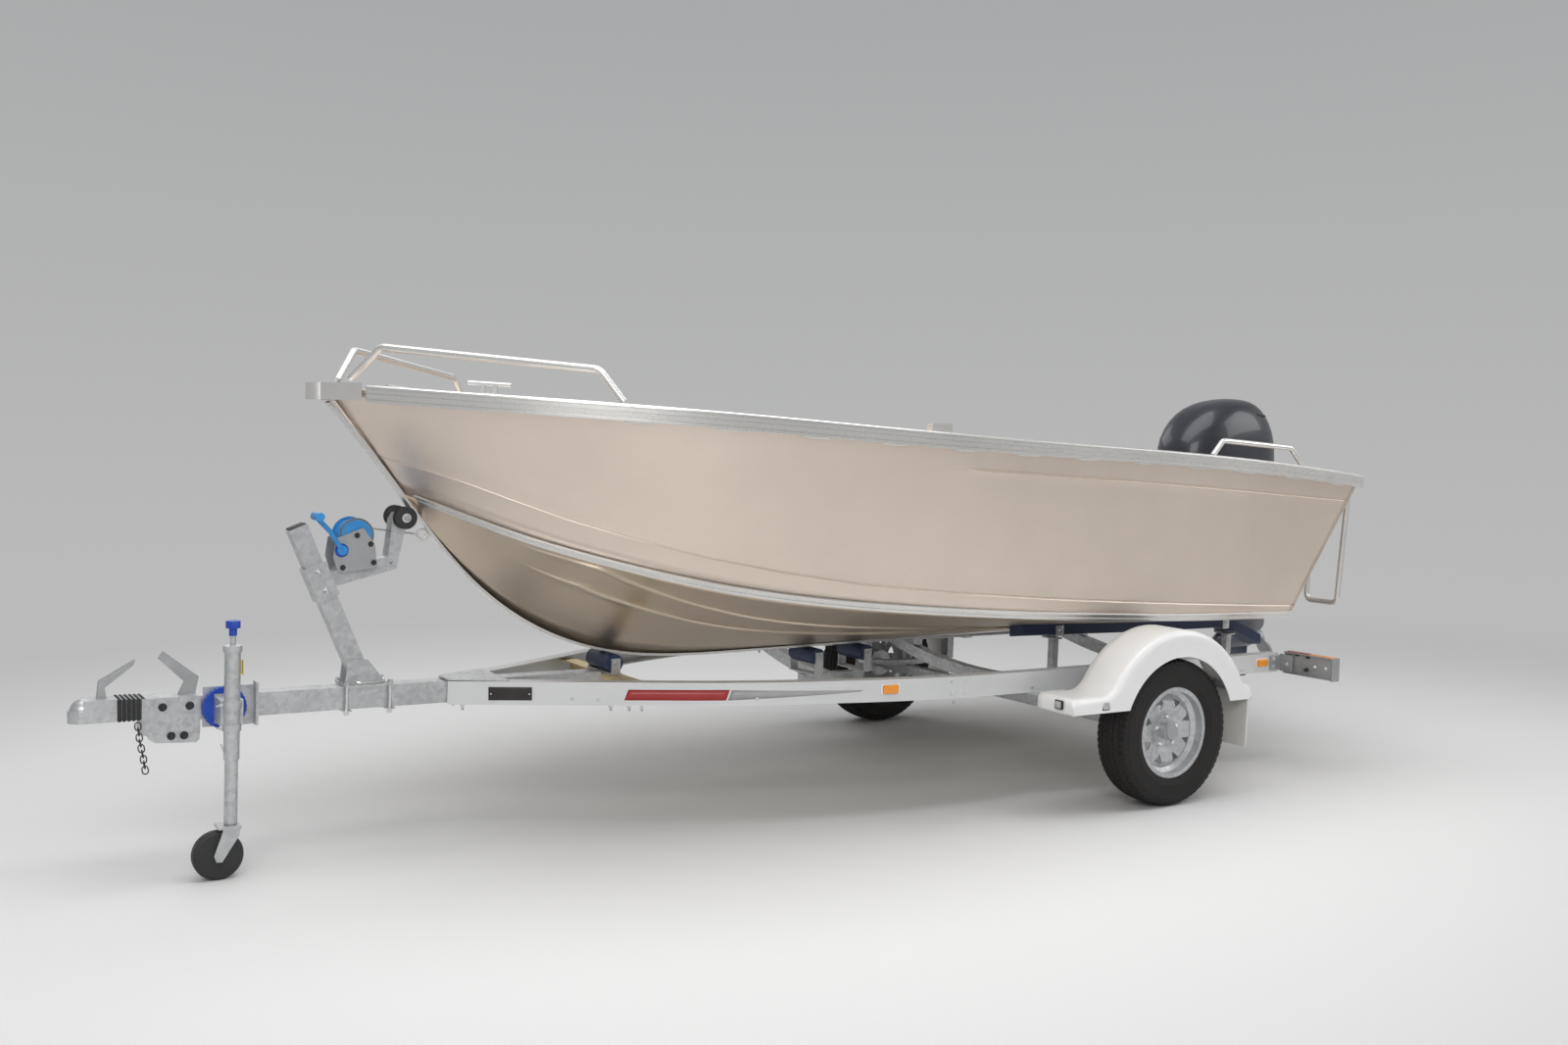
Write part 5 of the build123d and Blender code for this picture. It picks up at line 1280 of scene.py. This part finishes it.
# bow rollers: black V rollers with pale hubs at both ends
def vRoller(radius, half, waist, bore):
    profile = [(bore, -half), (radius * 0.80, -half), (radius * 0.97, -half * 0.90), (radius, -half * 0.72),
               (waist, 0), (radius, half * 0.72), (radius * 0.97, half * 0.90), (radius * 0.80, half), (bore, half)]
    return turned(profile, 40, hollow=True)


rollerSettings = {"radius": 0.038, "half": 0.0185, "waist": 0.0295, "bore": 0.0155, "apart": 0.0515}
bowAt = fromAxle(postSettings["bowRoller"][0], 0, postSettings["bowRoller"][1])
shapes, hubs = [], []
for side in (1, -1):
    spot = Vector((bowAt.x, side * rollerSettings["apart"], bowAt.z))
    where = facing(spot, (0, side, 0))
    bore = rollerSettings["bore"]
    shapes.append(moved(vRoller(rollerSettings["radius"], rollerSettings["half"], rollerSettings["waist"], bore),
                        where))
    hub = [(0.007, -0.0183), (bore, -0.0183), (bore, 0.0180), (0.0135, 0.0184), (0.007, 0.0184)]
    hubs.append(moved(turned(hub, 24, hollow=True), where))
makePiece("bowRollerRubbers", joined(*shapes), "blackRubber", stands=["bow_rollers"])
makePiece("bowRollerHubs", joined(*hubs), "flapRubber")
pinHeads = []
for side in (1, -1):
    pinHeads.append((Vector((bowAt.x, side * 0.0702, bowAt.z)), (0, side, 0)))
kneeAt = fromAxle(postSettings["knee"][0], 0, postSettings["knee"][1])
for side in (1, -1):
    pinHeads.append((Vector((kneeAt.x, side * 0.0275, kneeAt.z)), (0, side, 0)))
makePiece("bowRollerNuts", boltsAt(pinHeads, across=0.015, height=0.008, washer=0.024, thread=0.010), "chrome")
print("bow rollers fitted")


# winch: wound strap, ribbed grip, blue pressed disc, side bolts
winchSettings = {"wound": 0.049, "half": 0.040, "gripLow": 0.062, "gripHigh": 0.128, "gripRadius": 0.0135}
drumAt = fromAxle(postSettings["drum"][0], 0, postSettings["drum"][1])
drumWhere = facing(Vector((drumAt.x, 0, drumAt.z)), (0, 1, 0))
profile, flanges = [(0.026, -winchSettings["half"])], []
turns = 18
for i in range(turns * 2 + 1):
    y = -winchSettings["half"] + winchSettings["half"] * 2 * i / (turns * 2)
    profile.append((winchSettings["wound"] - (0.0016 if i % 2 else 0.0), y))
profile.append((0.026, winchSettings["half"]))
coil = moved(turned(profile, 48, hollow=True), drumWhere)
makePiece("winchStrapCoil", coil, "skyBlue")
for side in (1, -1):
    flanges.append(moved(turned([(0.0075, 0.0405), (0.053, 0.0405), (0.0575, 0.0415), (0.0575, 0.0440), (0.052, 0.0443),
                                 (0.050, 0.0432), (0.0075, 0.0432)], 48, hollow=True),
                         facing(Vector((drumAt.x, 0, drumAt.z)), (0, side, 0))))
makePiece("winchDrumFlanges", joined(*flanges), "flangeBrown")
crankAt = fromAxle(postSettings["drum"][0] + 0.052, 0, postSettings["drum"][1] - 0.048)
tipAt = fromAxle(3.031, 0, 1.124)
rib = [(0.0042, winchSettings["gripLow"])]
for i in range(14):
    y = winchSettings["gripLow"] + (winchSettings["gripHigh"] - winchSettings["gripLow"]) * (i + 0.5) / 14
    rib.append((winchSettings["gripRadius"] - (0.0022 if i % 2 else 0.0) - 0.0015 * abs(i - 6.5) / 6.5, y))
rib.append((0.0042, winchSettings["gripHigh"]))
grip = moved(turned(rib, 28, hollow=True), facing(Vector((tipAt.x, 0, tipAt.z)), (0, 1, 0)))
makePiece("winchGrip", grip, "deepBlue")
disc = moved(turned([(0, 0.0485), (0.020, 0.0485), (0.023, 0.0500), (0.0225, 0.0525), (0.012, 0.0535),
                     (0.011, 0.0565), (0, 0.0570)], 32),
             facing(Vector((crankAt.x, 0, crankAt.z)), (0, 1, 0)))
makePiece("winchRatchetCap", disc, "deepBlue")
sideBolts = []
for dx, dz in ((-0.055, -0.092), (0.048, -0.106), (-0.045, -0.030), (0.0, 0.0)):
    spot = fromAxle(postSettings["drum"][0] + dx, 0, postSettings["drum"][1] + dz)
    for side in (1, -1):
        sideBolts.append((Vector((spot.x, side * 0.0482, spot.z)), (0, side, 0)))
makePiece("winchSideBolts", boltsAt(sideBolts, across=0.013, height=0.006, washer=0.020), "castBlack")
print("winch built")



# coupling: rubber bellows, lower side plates, black bolts, safety chain
couplingSettings = {"bellows": (3.556, 3.638), "ribs": 6, "plateLow": 0.352, "plateHigh": 0.3835, "side": 0.046}
bellows = []
first, last = couplingSettings["bellows"]
step = (last - first) / couplingSettings["ribs"]
for i in range(couplingSettings["ribs"]):
    x = first + step * (i + 0.5)
    above, _ = touch("coupling", parked(x, 0, 0.9), (0, 0, -1))
    below, _ = touch("coupling", parked(x, 0, 0.1), (0, 0, 1))
    beside, _ = touch("coupling", parked(x, 0.4, 0.455), (0, -1, 0))
    if above is None or below is None or beside is None:
        continue
    wide = min(beside.y + 0.0035, 0.0458)
    low, high = below.z - 0.003, above.z + 0.003
    size = (step * 0.66, wide * 2, high - low)
    bellows.append(moved(roundedBlock(size, 0.0042, 3), Matrix.Translation((above.x, 0, (low + high) / 2))))
    core = (step, wide * 2 - 0.006, high - low - 0.006)
    bellows.append(moved(roundedBlock(core, 0.0010), Matrix.Translation((above.x, 0, (low + high) / 2))))
makePiece("couplingBellows", joined(*bellows), "blackRubber")
sidePlates = []
for side in (1, -1):
    y0, y1 = sorted((side * 0.0395, side * couplingSettings["side"]))
    outline = [(3.540, couplingSettings["plateHigh"]), (3.542, 0.372), (3.520, 0.358),
               (3.400, couplingSettings["plateLow"]), (3.390, 0.362), (3.389, couplingSettings["plateHigh"])]
    points = [parked(x, 0, z) for x, z in outline]
    count = len(points)
    verts = [Vector((p.x, y0, p.z)) for p in points] + [Vector((p.x, y1, p.z)) for p in points]
    faces = [tuple(range(count)), tuple(range(count * 2 - 1, count - 1, -1))]
    faces += [(i, i + count, (i + 1) % count + count, (i + 1) % count) for i in range(count)]
    sidePlates.append((verts, faces))
makePiece("couplingSidePlates", joined(*sidePlates), "galvanised")
couplingBolts = [(parked(x, side * couplingSettings["side"], z), (0, side, 0))
                 for side in (1, -1) for x, z in ((3.474, 0.378), (3.436, 0.377), (3.500, 0.470), (3.420, 0.470))]
makePiece("couplingBolts", boltsAt(couplingBolts, across=0.017, height=0.010, washer=0.026, thread=0.012), "castBlack")
chainPath = [parked(x, y, z) for x, y, z in ((3.572, 0.046, 0.424), (3.566, 0.050, 0.370), (3.556, 0.052, 0.320),
                                             (3.548, 0.050, 0.268))]
makePiece("safetyChain", chainAlong(chainPath, 0.0215, 0.0135, 0.0040), "castBlack")
print("coupling dressed")


# jockey wheel: clamp bands with their nuts, top collar, small ring, blank tag, ribs round the swing disc
jockeySettings = {"x": 3.315, "y": 0.166, "radius": 0.024, "pivot": 0.519}
jockeyUp = (parked(jockeySettings["x"], 0, 1.0) - parked(jockeySettings["x"], 0, 0.0)).normalized()


def jockeyAt(ahead, y, z):
    # a place beside the leaning tube, z over the floor
    return fromAxle(jockeySettings["x"] + ahead + jockeyUp.x * (z - jockeySettings["pivot"]), y, z)


def aroundTube(profile, z, steps=32):
    return moved(turned(profile, steps, hollow=True), facing(jockeyAt(0, jockeySettings["y"], z), jockeyUp, (0, 1, 0)))


r = jockeySettings["radius"]
bands = []
for low, high in ((0.462, 0.486), (0.532, 0.556)):
    half = (high - low) / 2
    bands.append(aroundTube([(r + 0.0002, -half), (r + 0.0042, -half + 0.001), (r + 0.0042, half - 0.001),
                             (r + 0.0002, half)], (low + high) / 2))
collar = aroundTube([(r - 0.002, -0.012), (r + 0.0045, -0.011), (r + 0.005, 0.0), (r + 0.0045, 0.009),
                     (r - 0.006, 0.0128), (0.0095, 0.0132), (0.0095, 0.0010), (r - 0.002, 0.0008)], 0.722)
nutSpots = [(jockeyAt(r + 0.004, jockeySettings["y"], z), (1, 0, 0)) for z in (0.474, 0.544)]
nutShapes = boltsAt(nutSpots, across=0.012, height=0.007, washer=0.018, thread=0.010)
makePiece("jockeyBands", joined(*bands, collar, nutShapes), "galvanised", body="jockey_swing")
ringPath = [jockeyAt(r + 0.0035 + 0.004 * math.sin(a), jockeySettings["y"] + 0.011 * math.cos(a),
                     0.412 + 0.011 * math.sin(a)) for a in [2 * math.pi * k / 18 for k in range(18)]]
makePiece("jockeyRing", tube(ringPath, 0.0017, 8, closed=True), "chrome", body="jockey_swing")
tagAt = facing(jockeyAt(-r - 0.004, jockeySettings["y"] + 0.010, 0.662), jockeyUp, (0, 1, 0))
tag = moved(roundedBlock((0.0024, 0.022, 0.046), 0.001), tagAt @ Matrix.Rotation(math.radians(90), 4, "Z"))
makePiece("jockeyTag", tag, "tagYellow", body="jockey_swing")
knurls = []
pivot = jockeyAt(0, 0.058, jockeySettings["pivot"])
for k in range(28):
    a = 2 * math.pi * k / 28
    along = Vector((math.cos(a), 0, math.sin(a)))
    knurls.append(moved(roundedBlock((0.0060, 0.018, 0.0030), 0.0012),
                        facing(pivot + along * 0.0662, along, (1, 0, 0))))
makePiece("jockeyDiscRibs", joined(*knurls), "deepBlue", body="jockey_swing")
print("jockey wheel dressed")


# outboard cowl: a domed shell with its highest place toward the back, dark vents and a seam at its foot
cowlSettings = {
    # height, front, back, half width
    "levels": [(1.2908, -2.026, -2.684, 0.1865), (1.330, -2.0255, -2.6835, 0.1868), (1.380, -2.028, -2.680, 0.1862),
               (1.425, -2.041, -2.672, 0.1835), (1.470, -2.066, -2.657, 0.1780), (1.510, -2.098, -2.637, 0.1690),
               (1.545, -2.139, -2.612, 0.1560), (1.573, -2.185, -2.586, 0.1400), (1.595, -2.238, -2.558, 0.1190),
               (1.610, -2.290, -2.530, 0.0930), (1.619, -2.338, -2.502, 0.0630), (1.6235, -2.372, -2.476, 0.0360),
               (1.6252, -2.398, -2.454, 0.0130)],
    "power": 2.6,
    "vent": (-2.500, 1.547),
}


def cowlRing(height, front, back, half, steps=72):
    power = 2 / cowlSettings["power"]
    ring = []
    for k in range(steps):
        a = math.tau * k / steps
        across = math.copysign(abs(math.sin(a)) ** power, math.sin(a))
        along = math.copysign(abs(math.cos(a)) ** power, math.cos(a))
        ring.append(((front + back) / 2 + along * (front - back) / 2, across * half, height))
    return ring


cowlShell = rings([cowlRing(*level) for level in cowlSettings["levels"]])
makePiece("cowlShell", cowlShell, "cowlGloss", body="motor", stands=["cowl"], angle=50)
seam = rings([cowlRing(1.2865, -2.0262, -2.6838, 0.1864), cowlRing(1.2922, -2.0252, -2.6842, 0.1869)])
makePiece("cowlSeam", seam, "blackRubber", body="motor")
vents = []
for side in (1, -1):
    for drop in (0.0, 0.014):
        at = (cowlSettings["vent"][0] + drop * 2, side * (0.1440 + drop * 0.45), cowlSettings["vent"][1] - drop)
        vents.append(moved(roundedBlock((0.075 - drop * 2, 0.008, 0.006), 0.0025),
                           facing(at, (-0.16, side * 0.80, 0.50), (1, 0, 0))))
makePiece("cowlVents", joined(*vents), "castBlack", body="motor")
print("outboard dressed")
